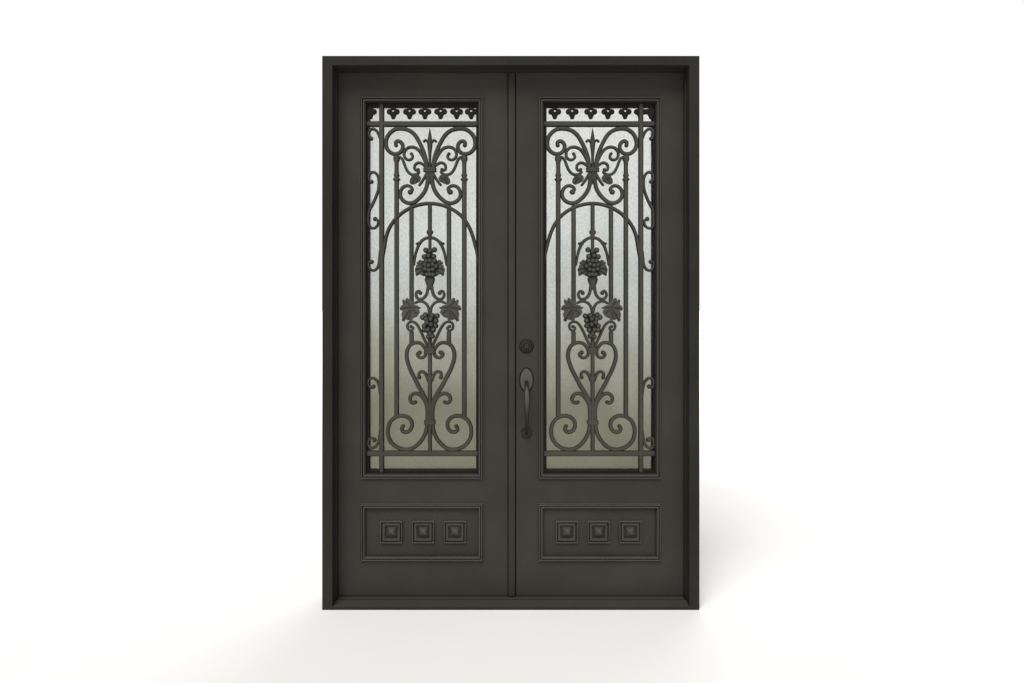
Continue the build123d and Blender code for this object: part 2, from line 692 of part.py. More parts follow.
def deadbolt():
    """The round lock on the outside of the right leaf."""
    tower = extrude(Circle(ROSE_RADIUS), ROSE_DEPTH)
    tower += extrude(Circle(ROSE_STEP_RADIUS), ROSE_DEPTH + ROSE_STEP_DEPTH)
    tower += extrude(Circle(CYLINDER_RADIUS), ROSE_DEPTH + ROSE_STEP_DEPTH + CYLINDER_DEPTH)
    return facing_out(LOCK_X, leaf_front, DEADBOLT_Z) * tower


def handle_plates():
    """The oval plate behind the top of the pull and the round foot at its bottom."""
    plate = extrude(Ellipse(PLATE_WIDTH / 2, PLATE_HEIGHT / 2), PLATE_DEPTH)
    oval = facing_out(LOCK_X, leaf_front, HANDLE_Z) * plate
    foot = facing_out(LOCK_X, leaf_front, FOOT_Z) * extrude(Circle(FOOT_RADIUS), PLATE_DEPTH)
    return Compound(children=[oval, foot])


def handle_grip(plates):
    """The bowed pull between the two plates, narrower towards its foot and trimmed where it meets them."""
    seat = leaf_front - PLATE_DEPTH
    points = []
    for drop, reach in zip(GRIP_DROP_SHARES, GRIP_REACH_SHARES):
        points.append(Vector(seat - reach * GRIP_REACH, HANDLE_Z + drop * (FOOT_Z - HANDLE_Z)))
    band = bent_bar(points, GRIP_THICK)
    upright = Plane(origin=(LOCK_X - GRIP_WIDTH / 2, 0, 0), x_dir=(0, 1, 0), z_dir=(1, 0, 0))
    top = HANDLE_Z + GRIP_THICK
    low = FOOT_Z - GRIP_THICK
    corners = [(GRIP_WIDTH / 2, top), (-GRIP_WIDTH / 2, top), (-GRIP_FOOT_WIDTH / 2, low), (GRIP_FOOT_WIDTH / 2, low)]
    taper = facing_out(LOCK_X, leaf_front, 0) * make_face(Polyline(corners, close=True))
    bow = extrude(upright * band, amount=GRIP_WIDTH) & extrude(taper, amount=FRAME_DEPTH)
    return bow - plates


def inside_lever():
    """The lever on the inside of the right leaf behind the pull."""
    tower = extrude(Circle(ROSE_RADIUS), ROSE_DEPTH)
    tower += extrude(Circle(LEVER_NECK_RADIUS), ROSE_DEPTH + LEVER_NECK_LENGTH)
    arm = Pos((LEVER_HEIGHT - LEVER_LENGTH) / 2) * Rectangle(LEVER_LENGTH, LEVER_HEIGHT)
    tower += Pos(0, 0, ROSE_DEPTH + LEVER_NECK_LENGTH) * extrude(arm, LEVER_DEPTH)
    return facing_in(LOCK_X, leaf_back, HANDLE_Z) * tower


def deadbolt_turn():
    """The turn piece of the lock on the inside of the right leaf."""
    tower = extrude(Circle(ROSE_RADIUS), ROSE_DEPTH)
    tower += extrude(Rectangle(TURN_WIDTH, TURN_LENGTH), ROSE_DEPTH + TURN_DEPTH)
    return facing_in(LOCK_X, leaf_back, DEADBOLT_Z) * tower


def save(node, shape):
    """Write one piece."""
    shape.label = node
    export_step(shape, f"parts/{node}.step")


def main():
    """Build every piece and write it."""
    os.makedirs("parts", exist_ok=True)
    left_jamb = jamb()
    right_jamb = other_side(left_jamb)
    posts = [left_jamb, right_jamb]
    save("left_jamb", left_jamb)
    save("right_jamb", right_jamb)
    save("head", head(posts))
    save("threshold", threshold(posts))
    save("astragal", astragal())
    save("left_lock_stile", lock_stile(LEFT_EDGE))
    save("right_lock_stile", other_side(lock_stile(-right_edge)))
    bars = grille_bars()
    scrolls = grille_scrolls(bars)
    pieces = {
        "hinge_pins": hinge_pins(),
        "hinge_barrels": hinge_barrels(),
        "hinge_stile": hinge_stile(),
        "top_rail": rail(opening_top, leaf_top),
        "middle_rail": rail(kick_high, opening_bottom),
        "bottom_rail": rail(leaf_bottom, kick_low),
        "kick_panel": kick_panel(),
        "mouldings": mouldings(),
        "glass": glass(),
        "glass_beads": glass_beads(),
        "grille_bars": bars,
        "grille_scrolls": scrolls,
        "grapes": grapes(scrolls),
        "vine_leaves": vine_leaves(),
    }
    for name, shape in pieces.items():
        save(f"left_{name}", shape)
        save(f"right_{name}", other_side(shape))
    save("left_flower_cresting", flower_cresting(LEFT_FLOWERS_PX, bars))
    save("right_flower_cresting", other_side(flower_cresting(RIGHT_FLOWERS_PX, bars)))
    save("deadbolt", deadbolt())
    plates = handle_plates()
    save("handle_plates", plates)
    save("handle_grip", handle_grip(plates))
    save("inside_lever", inside_lever())
    save("deadbolt_turn", deadbolt_turn())


main()
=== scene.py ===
"""Looks of the pair of wrought-iron entrance doors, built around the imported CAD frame.

Metres, in the CAD's own frame: +X to the right seen from outside, -Y outside, +Z up.
The ornament is drawn for the left leaf and mirrored for the right one.
"""
import json
import logging
from dataclasses import dataclass, replace
from enum import Enum
from functools import cached_property

import bpy
import numpy as np
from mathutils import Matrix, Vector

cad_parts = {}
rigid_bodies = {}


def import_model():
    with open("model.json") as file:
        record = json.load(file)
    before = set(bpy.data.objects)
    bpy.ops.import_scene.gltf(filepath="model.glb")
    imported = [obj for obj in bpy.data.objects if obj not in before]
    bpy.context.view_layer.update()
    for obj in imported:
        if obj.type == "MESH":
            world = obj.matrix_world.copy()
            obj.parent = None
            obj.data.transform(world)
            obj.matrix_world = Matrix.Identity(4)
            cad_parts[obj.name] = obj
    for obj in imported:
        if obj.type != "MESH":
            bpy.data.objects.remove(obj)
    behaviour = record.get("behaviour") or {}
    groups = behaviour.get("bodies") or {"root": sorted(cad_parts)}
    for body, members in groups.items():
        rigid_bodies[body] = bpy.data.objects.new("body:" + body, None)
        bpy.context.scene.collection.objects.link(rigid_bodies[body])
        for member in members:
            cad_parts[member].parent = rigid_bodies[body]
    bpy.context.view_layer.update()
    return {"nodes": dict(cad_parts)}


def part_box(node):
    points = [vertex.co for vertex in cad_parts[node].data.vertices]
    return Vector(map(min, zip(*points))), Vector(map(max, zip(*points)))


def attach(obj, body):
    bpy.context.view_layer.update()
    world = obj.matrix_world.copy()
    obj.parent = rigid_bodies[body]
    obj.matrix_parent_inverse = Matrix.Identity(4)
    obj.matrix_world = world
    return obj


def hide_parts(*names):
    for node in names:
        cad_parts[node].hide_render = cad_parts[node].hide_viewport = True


for leftover in list(bpy.data.objects):
    bpy.data.objects.remove(leftover)
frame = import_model()

log = logging.getLogger("doors")
MM = 0.001
SHARP_EDGE = 0.62  # angle in radians past which an edge isn't smoothed

# Photo pixels of the left leaf: the edges of its window and the axis of its ornament
HINGE_EDGE_PX = 366.8
LOCK_EDGE_PX = 478.5
TOP_EDGE_PX = 103.55
BOTTOM_EDGE_PX = 472.8
AXIS_PX = 430

# How much wider mirror images on the lock side are: most, the vine leaves, the base scrolls and the hearts
LOCK_STRETCH = 1.032
LEAF_STRETCH = 1.06
BASE_STRETCH = 0.985
HEART_STRETCH = 1.055

# Straight bars: centre, start, end and width
BORDER_BAR_PX = (381.8, TOP_EDGE_PX, BOTTOM_EDGE_PX, 5)
RAILS_PX = ((124.1, 5.5), (453.4, 5.5))
OUTER_BAR_PX = (396.7, 180, 416.4, 4.6)
INNER_BARS_PX = ((411.6, 205, 313, 4.4), (411.6, 331.2, 344, 4.4))
CENTRE_BAR_PX = (AXIS_PX, 203, 240, 4)
STEMS_PX = ((AXIS_PX, 234, 286, 3.2), (AXIS_PX, 308.6, 318, 3.5))
POST_PX = (AXIS_PX, 334, 453, 4)
ARCH_PX = (
    (383, 264), (383.6, 256), (384.5, 247.8), (387.8, 232), (397.7, 216.9), (412.6, 207), (430, 203.5),
    (447.4, 207), (462, 216.6), (470.8, 230.5), (475, 244), (477, 254), (477.8, 264),
)
ARCH_WIDE_PX = 3.7
ARCH_TAIL_PX = 18

# Turned and wrapped pieces: rows of height and width
BALUSTER_PX = (
    (155.6, 3.6), (156.4, 5.8), (158, 6.8), (160, 6.5), (161.3, 5.2), (162.6, 4.4), (168, 4.1),
    (172.7, 4.4), (174.2, 5), (175, 5.9), (176, 5.7), (176.8, 4.7), (178.1, 4.8), (178.7, 6.7),
    (179.5, 7.4), (180.3, 6.7), (181.1, 4.8), (182.4, 4.6),
)
FINIAL_PX = (
    (127.8, 0.3), (131.4, 1.7), (134.8, 3), (138, 4), (139.8, 4.8), (141.6, 6), (144, 5.5),
    (147.5, 4.8), (150.7, 4), (154, 3.3), (157, 3), (162, 2.8), (169, 3),
)
TONGUE_PX = ((171, 3.8), (176, 3.3), (180, 2.3), (183, 1.2), (184.6, 0.4))
CALYX_PX = (
    (276.8, 6.6), (277.8, 9.2), (279, 10.5), (280.7, 10), (282.4, 8.9), (284.8, 7.2), (286.8, 6),
    (288.2, 4), (289.3, 1.7), (290, 0.5),
)
CENTRE_KNOB_PX = (
    (228.4, 4), (229.8, 4.2), (230.8, 6), (232, 7), (233.4, 6.4), (234.4, 4.6), (235.6, 4),
    (237.4, 4.6), (239, 4),
)
STEM_KNOB_PX = ((374.8, 3.8), (376.4, 5.4), (378, 6.4), (379.6, 6.6), (381.2, 5.6), (383, 4))
CROWN_COLLAR_PX = (
    (167.6, 10.6), (168, 13), (168.8, 13.6), (169.5, 13), (169.8, 11.4), (170.1, 11.4), (170.4, 13),
    (171.1, 13.6), (171.8, 13), (172.2, 10.6),
)
HEART_COLLAR_PX = (
    (348, 9.4), (348.5, 11.4), (349.3, 12), (350, 11.4), (350.3, 10), (351.3, 10), (351.6, 11.4),
    (352.3, 12), (353.1, 11.4), (353.6, 9.4),
)
BASE_COLLAR_PX = (
    (419.9, 9.6), (420.4, 11.6), (421.2, 12), (421.9, 11.4), (422.1, 10.4), (422.4, 10.4),
    (422.6, 11.4), (423.2, 12), (424, 11.6), (424.5, 9.6),
)

# Centre lines of the scrolls
BIG_CROWN_PX = (
    (427.2, 170.4), (426.7, 165.6), (426, 160.3), (424.4, 153.9), (421.9, 147.5), (418.8, 141.1),
    (415.8, 136), (411.3, 131.6), (406.2, 129.3), (401.1, 128.6), (395.4, 129.3), (390.9, 132.2),
    (387.5, 136.7), (386.1, 142.4), (386.9, 148), (390.2, 152.2), (394.8, 154.1), (399.2, 153.2),
    (402.3, 149.8), (402.9, 145.6), (401, 142.2), (397.9, 141), (395.8, 142.6), (396.2, 145.4),
)
MEDIUM_CROWN_PX = (
    (427.4, 170.4), (426.6, 165.6), (425.4, 162), (423.4, 157.6), (420.4, 152.2), (416.8, 148.5),
    (412.8, 147.1), (408.8, 147.5), (405.5, 150.1), (404.2, 154.3), (405.4, 158.2), (408.6, 160),
    (411.6, 159.2), (412.9, 156.4), (411.6, 153.9),
)
SMALL_CROWN_PX = (
    (426, 167), (422.8, 164.2), (419, 162.7), (415.9, 164), (414.5, 167.3), (415.3, 170), (417, 170.7),
    (418.2, 169.7),
)
TENDRIL_PX = (
    (398.7, 156.6), (401.6, 158.2), (403.9, 162.6), (405.8, 167.7), (408.4, 172.2), (411.6, 174.5),
    (415.4, 174.7), (418.4, 173.2), (419.7, 170.8),
)
LOWER_CROWN_PX = (
    (427.5, 170), (427.7, 180), (426.9, 186), (424.8, 191.4), (421.6, 196), (417.8, 199.8),
    (414, 202.4), (409.4, 203.2), (404.5, 201.5), (401, 197.5), (400.5, 192.5), (402.5, 188),
    (406.5, 185.7), (410.5, 186.6), (412.6, 189.8), (410.4, 192),
)
CROWN_TAIL_PX = ((427, 173), (424.4, 178), (421.4, 182.6), (418.9, 186))
FINIAL_ARM_PX = ((428.8, 143), (427.2, 141), (425.8, 139.9), (424.5, 140.3), (424.2, 141.5))
SMALL_ARCH_PX = (
    (433.6, 238.2), (430, 237.7), (426.4, 238.1), (423.4, 239.7), (420.7, 242.2), (418.4, 246),
    (416.6, 250.8), (415.4, 255.6), (414.6, 260.4), (413.9, 265.8),
)
LYRE_PX = (
    (428.2, 285.5), (427.8, 289.4), (427.2, 292.8), (425.9, 295.8), (423.6, 298.2), (420.4, 299.4),
    (417.6, 298.4), (416.2, 295.6), (416.4, 292.8), (418, 290.9), (420, 291.2), (420.4, 293),
)
LEAF_STEM_PX = (
    (429.2, 313), (429, 309), (427.9, 306), (425.9, 303.4), (423.2, 301.8), (420.4, 301.3),
    (417.4, 301.9), (414.4, 303.6),
)
LEAF_CURL_PX = (
    (428.8, 350), (427.2, 345.4), (424.4, 339.4), (421.6, 333), (418.8, 327.4), (416.4, 323.8),
    (413.4, 321.9), (410.2, 321.9), (407.9, 323.9), (407.4, 327), (408.8, 329.8), (411.3, 330.6),
    (413.1, 329), (412.6, 326.8), (411, 326.6),
)
HEART_PX = (
    (429.2, 412), (428.5, 408), (425, 397.5), (421.5, 391), (418, 385), (414.5, 378), (411, 371),
    (408.5, 364.5), (407, 359), (406.8, 353.5), (408, 348.5), (411, 344.5), (415.5, 342.7), (420, 343),
    (423.5, 346), (426, 351), (425, 356), (421.5, 358), (418.3, 356.4), (417.4, 353.4), (419.6, 352.6),
)
STEM_CURL_PX = (
    (428.8, 382), (427.6, 378.6), (426.3, 374.8), (423.8, 372), (420.8, 371.7), (418.8, 374.4),
    (419.3, 377.3),
)
BASE_HOOK_PX = (
    (427.4, 424), (427.5, 416), (427.2, 408.3), (425.2, 401.2), (422.6, 397.2), (419.4, 394.4),
    (415.4, 393.3), (411.6, 395.2), (410, 398.8), (411.5, 402.2), (413.8, 403.1), (415.5, 402.2),
)
BASE_SCROLL_PX = (
    (427.5, 412), (427.4, 420), (426.9, 427), (425.2, 434), (421.9, 440), (417, 445.4), (411, 448.9),
    (404.2, 449.4), (397.2, 447.2), (391.4, 442.4), (388.4, 436), (388.1, 429), (389.8, 423),
    (393.7, 418.4), (399, 416), (405, 416.1), (409.9, 418.9), (412.2, 423.6), (411.4, 428.6),
    (408, 431.8), (404.2, 432), (401.7, 429.4), (403.2, 426.2),
)
BORDER_SCROLLS_PX = (
    (
        (380.4, 139.4), (378.6, 134), (375.8, 130.1), (372.6, 128.8), (369.8, 130.6), (369, 134),
        (369.8, 137), (371.2, 138.6),
    ),
    (
        (370.6, 208.4), (373.4, 203), (376, 197), (378.1, 191), (379, 184), (378.4, 177.4),
        (376.4, 173.6), (373.2, 172.1), (370.2, 173.6), (368.9, 177), (369.6, 180.3), (371.4, 181.8),
    ),
    (
        (377, 194), (375, 199.4), (372, 205), (369.6, 210.4), (368.5, 216), (368.5, 222),
        (369.8, 226.5), (372.8, 228.4), (376.3, 227.1), (378.4, 223.4), (377.6, 220), (375.3, 219),
    ),
    (
        (380.6, 250), (379.8, 257), (379.2, 263), (377.4, 268), (373.4, 270.6), (370, 269),
        (368.7, 265.4), (369.5, 261.8), (371.8, 261.8),
    ),
    (
        (380.6, 396), (379.8, 389), (378.6, 383.6), (376, 379.6), (372.2, 378), (368.9, 379.8),
        (368.4, 383.8), (370, 387), (372.2, 387.8), (373.5, 386.6),
    ),
    (
        (380.6, 429), (379.8, 436), (378.4, 442.4), (375.2, 447), (371.4, 448.4), (368.8, 445.8),
        (368.4, 441.6), (369.8, 438.6), (372.6, 438), (374.6, 440),
    ),
)

# Castings
MID_LEAF_PX = (
    (403.2, 298.1), (406.2, 297.4), (409.8, 298.6), (413.4, 300.8), (414.8, 304.4), (418.8, 306),
    (421.8, 308), (419, 309.9), (420.8, 311.4), (419, 315), (416.8, 317.3), (413.8, 318.2),
    (412.4, 320.6), (409, 320.4), (405.9, 319.6), (404.2, 322.4), (402.4, 321), (402.4, 317.4),
    (401.8, 314), (403.2, 310.8), (399.7, 309.6), (401.2, 305.6), (403.6, 304.4), (402.6, 302.6),
    (405.8, 301.2),
)
MID_LEAF_VEINS_PX = (
    (412, 308),
    ((404, 298.6), (400.8, 309), (403.4, 321.2), (409.6, 320.4), (418.6, 316), (420.8, 308.4)),
)
CROWN_LEAF_PX = (
    (412.6, 175.3), (411.6, 178.1), (410.1, 181.2), (410.3, 183.4), (412.2, 184.9), (415.2, 184.4),
    (417.6, 183.1), (420.3, 181.4), (421.4, 178.8), (420.2, 176.1), (417.7, 174.8), (415.1, 174.6),
)
CROWN_LEAF_VEINS_PX = ((418.6, 175.6), ((411, 180.6), (412.4, 184.6), (418, 183.4), (413, 176.4)))
GRAPE_LEAF_PX = (
    (422.8, 260.4), (419.7, 259.7), (418.7, 261.5), (416.7, 262.5), (416.5, 264.6), (418.2, 265.8),
    (416.5, 267.2), (415.1, 270.2), (415.9, 272.8), (416.4, 276.4), (418.5, 275.7), (419.9, 274.2),
    (421.9, 275.4), (424.2, 276.6), (428, 273), (428.4, 264), (425, 261.4),
)
GRAPE_LEAF_VEINS_PX = (
    (427, 268), ((419.8, 260.4), (417, 263.6), (415.6, 270.4), (417, 275.8), (424, 276)),
)
UPPER_GRAPES_PX = (
    (425.8, 250.4), (430, 251.4), (434.3, 250), (424.3, 257), (428.6, 256), (433.6, 256.8),
    (426.2, 261.2), (430, 261), (434.2, 261), (424.7, 264.9), (428.6, 265.8), (432.6, 264.6),
    (436, 266.6), (425, 269.2), (429, 270.4), (432.8, 269.8), (426.8, 274.8), (430, 274.6),
    (433.2, 274.8),
)
LOWER_GRAPES_PX = (
    (425.4, 314.8), (422.6, 317.2), (432.1, 315.4), (437, 315.8), (426, 318.8), (430.7, 319),
    (435.8, 320.6), (427, 322.4), (431, 324.4), (435.6, 325.7), (424.3, 325.8), (424.5, 329.8),
    (428, 329.6), (433.2, 329.7), (430, 333.4), (428.4, 336.6), (432.2, 335.8),
)
GRAPE_RADIUS_PX = 2.8
BUNCH_CORES_PX = (
    (429.6, 257, 4.2, 7.4), (429.8, 268, 4.6, 7.4), (430.4, 319.6, 6.2, 4.8), (430.2, 328, 4.8, 7.4),
)
LEFT_FLOWERS_PX = (370.4, 393.3, 409.6, 425, 440.7, 456.7, 471.3)
RIGHT_FLOWERS_PX = (371.4, 382.2, 397.5, 414.6, 431.8, 450.4, 467.8)
FLOWER_ROW_PX = 111
FLOWER_STRIP_PX = 107.1
PETALS_PX = ((-3.7, 0.7, 2.8), (3.7, 0.7, 2.8), (0, 3.1, 3.3), (0, 5.9, 2.3), (0, -4, 2.9))
FLOWER_HEART_PX = 3.3
FLOWER_HOLE_PX = 1.05

# Room in pixels that border scrolls and castings keep to the window's edges
BORDER_CLEAR_PX = 1.6
CASTING_CLEAR_PX = 0.1

# Width, tip and knob of a border scroll
BORDER_SCROLL_PX = (3, 2.7, 2.3)

# How far the grapes, all of the right ornament and the right lining, in metres, stand towards the lock
GRAPE_SHIFT_PX = 0.55
RIGHT_SHIFT_PX = -0.9
RIGHT_DRIFT = -0.005

# Grooves of the cast leaves, the flowers' raised ring, and flowers that the hinge edge cuts
VEIN_WIDE_PX = 0.62
VEIN_APART_PX = 2.4
RING_PX = 2.2
RING_WIDE_PX = 0.9
CLOSED_HOLE_PX = 0.05
CUT_FLOWER_PX = 6

# Depths measured from the outer face of the leaf, in metres
BAR_FRONT = 0.0075
BAR_BACK = 0.025
BORDER_FRONT = 0.0069
PAIRED_FRONT = 0.0083
ARCH_FRONT = 0.0062
BALUSTER_FRONT = 0.0045
BALUSTER_BACK = 0.027
SCROLL_FRONT = 0.0085
SCROLL_BACK = 0.023
STEM_FRONT = 0.0095
POST_FRONT = 0.0075
KNOB_FRONT = 0.0055
FINIAL_FRONT = 0.0065
COLLAR_FRONT = 0.005
GRAPE_MIDDLE = 0.0065
CORE_MIDDLE = 0.0125
CASTING_EDGE = 0.0085
CASTING_BACK = 0.01
CRESTING_FRONT = 0.0115
CRESTING_BACK = 0.0185
STRIP_FRONT = 0.0135

# Other sizes in metres
LEAF_MIDDLE = 0.035
BAR_ROUND = 0.0056
STRIP_ROUND = 0.0015
PANEL_ROUND = 0.0008
GRAPE_SWELL = 0.005
GRAPE_DEEP = 0.0105
LUMP_DEEP = 0.008
LEAF_DOME = 0.006
VEIN_DEEP = 0.0026
TOOTH_DROP = 0.016
PETAL_RISE = 0.0035
RING_RISE = 0.0016
PATH_STEP = 0.003

# Shares of a scroll's length and thickness: where it starts to taper, how its ends close, and its knob
TAPER_START = 0.4
END_LEAD = 0.15
END_FLAT = 0.8
KNOB_DEEP = 0.56

# Shares of the full size: the arch's thin ends, an upright's narrow parts and the height of a bunch
ARCH_THIN = 0.3
NARROW_DEEP = 0.45
BUNCH_SQUASH = 0.55

# Shares of a cast leaf's rise at its rim and its veins, the fall of its dome, and the castings' rings
LEAF_RIM = 0.35
LEAF_HOLLOW = 0.6
LEAF_FULL = 0.97
LEAF_SHARES = (*np.linspace(0.03, 0.9, 13), 0.96, 1.0)
FLOWER_SHARES = (0, 0.12, 0.3, 0.5, 0.72, 0.88, 0.96, 1)

# Counts: teeth of a leaf, rays of the castings and how finely paths, balls and edges are cut
LEAF_TEETH = 26
LEAF_RAYS = 240
FLOWER_RAYS = 84
FINE_SAMPLES = 40
LEAST_SAMPLES = 4
ROW_SAMPLES = 6
BELL_REACH = 3
EDGE_POINTS = 4
POLE_GAP = 0.12  # angle in radians that a fan closes at each pole of a ball

# How square a forged bar's section is, the corners of a square, and the ways through and across a leaf
FORGED = 2.4
SQUARE = np.array([[-1, -1], [1, -1], [1, 1], [-1, 1]])
THROUGH_LEAF = (0, 1, 0)
ACROSS_LEAF = (1, 0, 0)

# Sections in millimetres: rows of inset, or radius, and height
BEADING_MM = (
    (-1.6, -3), (-1.6, 4.2), (-1.2, 4.8), (0.6, 4.8), (1, 4.2), (1.1, 0.2), (4, 0.2), (4.1, 7.4),
    (4.5, 8.5), (5.2, 8.9), (8, 8.9), (8.7, 8.5), (9.1, 7.4), (9.2, 0.2), (13.4, 0.2), (13.5, 6), (13.8, 7),
    (14.4, 7.4), (18.8, 7.4), (19.4, 7), (19.8, 6), (20, 0.4), (20.3, -1.8), (24, -1.8), (24, -5), (4, -5),
)
BOSS_MM = (
    (0, -2), (0, 8), (0.4, 9), (1.2, 9.4), (3.6, 9.4), (4.4, 9), (4.8, 8), (4.9, 0.4), (10.4, 0.4),
    (10.5, 6.6), (11, 7.8), (12.2, 8.4), (15, 8), (19, 7), (21.4, 6), (21.7, 0.4), (26.4, 0.4), (26.5, 2),
    (49.8, 15.4),
)
ROSE_MM = (
    (31, -1), (31, 0.8), (29.4, 3.4), (27.8, 4.4), (25.6, 4.4), (24.6, 3.4), (23.6, 3.4), (22.6, 6.6),
    (21.2, 8.6), (18.8, 9.4), (16.6, 9.2), (15.6, 8), (14.6, 8), (13.6, 11.2), (12.2, 13.4), (10, 14.5),
    (0.4, 14.9),
)
OVAL_MM = (
    (31, -1), (31, 0.6), (30.2, 2.2), (28.4, 4.6), (27.2, 5.3), (25, 5.8), (20, 6.4), (12, 6.8), (5, 7),
    (0.4, 7),
)
FOOT_MM = (
    (23.5, -1), (23.5, 2.4), (22.6, 4), (20.6, 4.9), (18.4, 4.6), (16.8, 4.7), (12, 6.2), (6, 6.8),
    (0.4, 7),
)
LEVER_ROSE_MM = (
    (31, -1), (31, 3), (30, 5), (27.6, 6.4), (23, 7), (16, 7.4), (12, 8.4), (10, 11), (9, 16), (9, 36),
    (9.6, 40), (9, 46), (6, 47.6), (0.4, 48),
)
TURN_ROSE_MM = (
    (31, -1), (31, 3), (30, 5), (27.6, 6.4), (22, 7), (12, 7.6), (9, 8.6), (8, 12), (0.4, 12.4),
)

# Black rings of painted shade round the roses and plates: share of the radius that they go round and height
# in millimetres
SHADOW_RING_ROWS = ((1.075, -1), (1.075, 0.8), (1.05, 1.2), (0.9, 1.2), (0.9, -1))

# Pull: shares of its reach and fall, then share of its length and width or thickness in metres
GRIP_SHARES = (
    (0, 0.03), (0.3, 0.045), (0.62, 0.09), (0.88, 0.19), (0.985, 0.32), (1.0, 0.45), (0.95, 0.6),
    (0.84, 0.76), (0.66, 0.89), (0.4, 0.975), (0, 1.0),
)
GRIP_WIDE = (
    (0, 0.018), (0.12, 0.0175), (0.22, 0.023), (0.36, 0.0255), (0.56, 0.0195), (0.82, 0.0125),
    (1, 0.0125),
)
GRIP_THICK = ((0, 0.014), (0.12, 0.013), (0.3, 0.0135), (0.6, 0.0125), (0.85, 0.0105), (1, 0.012))

# Lever: run and rise in metres, then share of its length and height or depth in metres
LEVER_LINE = (
    (-0.006, 0), (0.012, 0.0008), (0.034, 0.0028), (0.058, 0.0022), (0.082, -0.0012), (0.1005, -0.004),
)
LEVER_TALL = ((0, 0.009), (0.05, 0.016), (0.2, 0.0185), (0.6, 0.0145), (0.94, 0.0125), (1, 0.007))
LEVER_DEEP = ((0, 0.008), (0.05, 0.0115), (0.2, 0.0125), (0.9, 0.0105), (1, 0.006))


class Side(Enum):
    """The two leaves of the pair."""

    LEFT = "left"
    RIGHT = "right"

    @property
    def body(self) -> str:
        """The CAD body that this leaf is."""
        return f"{self.value}_leaf"

    def node(self, name: str) -> str:
        """A CAD node's full name on this leaf."""
        return f"{self.value}_{name}"

    def facing(self, shape: "Shape") -> "Shape":
        """A shape drawn for the left leaf, mirrored if this is the right one."""
        return shape if self is Side.LEFT else shape.mirrored()


class Slot(Enum):
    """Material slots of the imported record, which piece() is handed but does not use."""

    LEAF = "leaf_paint"
    GRILLE = "grille_iron"
    CASTING = "casting_iron"
    HARDWARE = "hardware_bronze"


@dataclass
class Shape:
    """Points with their four-sided and three-sided faces.

    Attributes:
        points: Places, one row each.
        quads: Point numbers of the four-sided faces.
        tris: Point numbers of the three-sided faces.
    """

    points: np.ndarray
    quads: np.ndarray
    tris: np.ndarray

    @staticmethod
    def joined(shapes: "list[Shape]") -> "Shape":
        """Several shapes as one, with their point numbers moved on.

        Args:
            shapes: The shapes to join.

        Returns:
            One shape that holds them all.
        """
        starts = np.cumsum([0] + [len(shape.points) for shape in shapes])
        return Shape(
            np.concatenate([shape.points for shape in shapes]),
            np.concatenate([shape.quads + start for shape, start in zip(shapes, starts)]),
            np.concatenate([shape.tris + start for shape, start in zip(shapes, starts)]),
        )

    def mirrored(self, about: float = 0.0, stretch: float = 1.0) -> "Shape":
        """The shape mirrored in X about a place, with its faces turned to point outwards again.

        Args:
            about: The X that stays where it is.
            stretch: How much wider the mirror image is.

        Returns:
            The mirrored shape.
        """
        flipped = self.points * (-stretch, 1, 1) + ((1 + stretch) * about, 0, 0)
        return Shape(flipped, self.quads[:, ::-1], self.tris[:, ::-1])

    def pair(self, about: float, stretch: float = LOCK_STRETCH) -> "list[Shape]":
        """The shape and its mirror image about an upright axis, which is a little wider or narrower."""
        return [self, self.mirrored(about, stretch)]

    def volume(self) -> float:
        """Signed volume: a sixth of the sum of the faces' triple products.

        Returns:
            The volume, which is positive where the faces point outwards.
        """
        split = np.concatenate([self.quads[:, [0, 1, 2]], self.quads[:, [0, 2, 3]], self.tris])
        a, b, c = self.points[split[:, 0]], self.points[split[:, 1]], self.points[split[:, 2]]
        return float(np.einsum("ij,ij->", a, np.cross(b, c)) / 6)


def skin(rings: np.ndarray, closed: bool = False) -> Shape:
    """Joins rings of points into a closed skin whose faces point outwards.

    Point j of ring i meets point j+1 of the same ring and point j of the next. The last ring joins the
    first where closed, and otherwise each end ring is filled by a fan about its mean.

    Args:
        rings: Places as an array of ring, point and axis.
        closed: Whether the rings run round in a loop.

    Returns:
        The skin.
    """
    count, sides, _ = rings.shape
    index = np.arange(count * sides).reshape(count, sides)
    beside = np.roll(index, -1, axis=1)
    after, beside_after = np.roll(index, -1, axis=0), np.roll(beside, -1, axis=0)
    quads = np.stack([index, beside, beside_after, after], axis=-1)
    points, tris = rings.reshape(-1, 3), np.zeros((0, 3), int)
    if not closed:
        quads = quads[:-1]
        points = np.concatenate([points, rings[[0, -1]].mean(axis=1)])
        hub = count * sides
        low = np.stack([beside[0], index[0], np.full(sides, hub)], axis=-1)
        high = np.stack([index[-1], beside[-1], np.full(sides, hub + 1)], axis=-1)
        tris = np.concatenate([low, high])
    shape = Shape(points, quads.reshape(-1, 4), tris)
    if shape.volume() < 0:
        shape = Shape(points, shape.quads[:, ::-1], tris[:, ::-1])
    return shape


def circle(sides: int) -> np.ndarray:
    """Points of a unit circle: the cosine and the sine of even turns."""
    turn = np.arange(sides) * (2 * np.pi / sides)
    return np.stack([np.cos(turn), np.sin(turn)], axis=-1)


def superellipse(sides: int, power: float) -> np.ndarray:
    """A unit section: cosine and sine, each raised to 2 / power with its sign kept, so 2 is round."""
    unit = circle(sides)
    return np.sign(unit) * np.abs(unit) ** (2 / power)


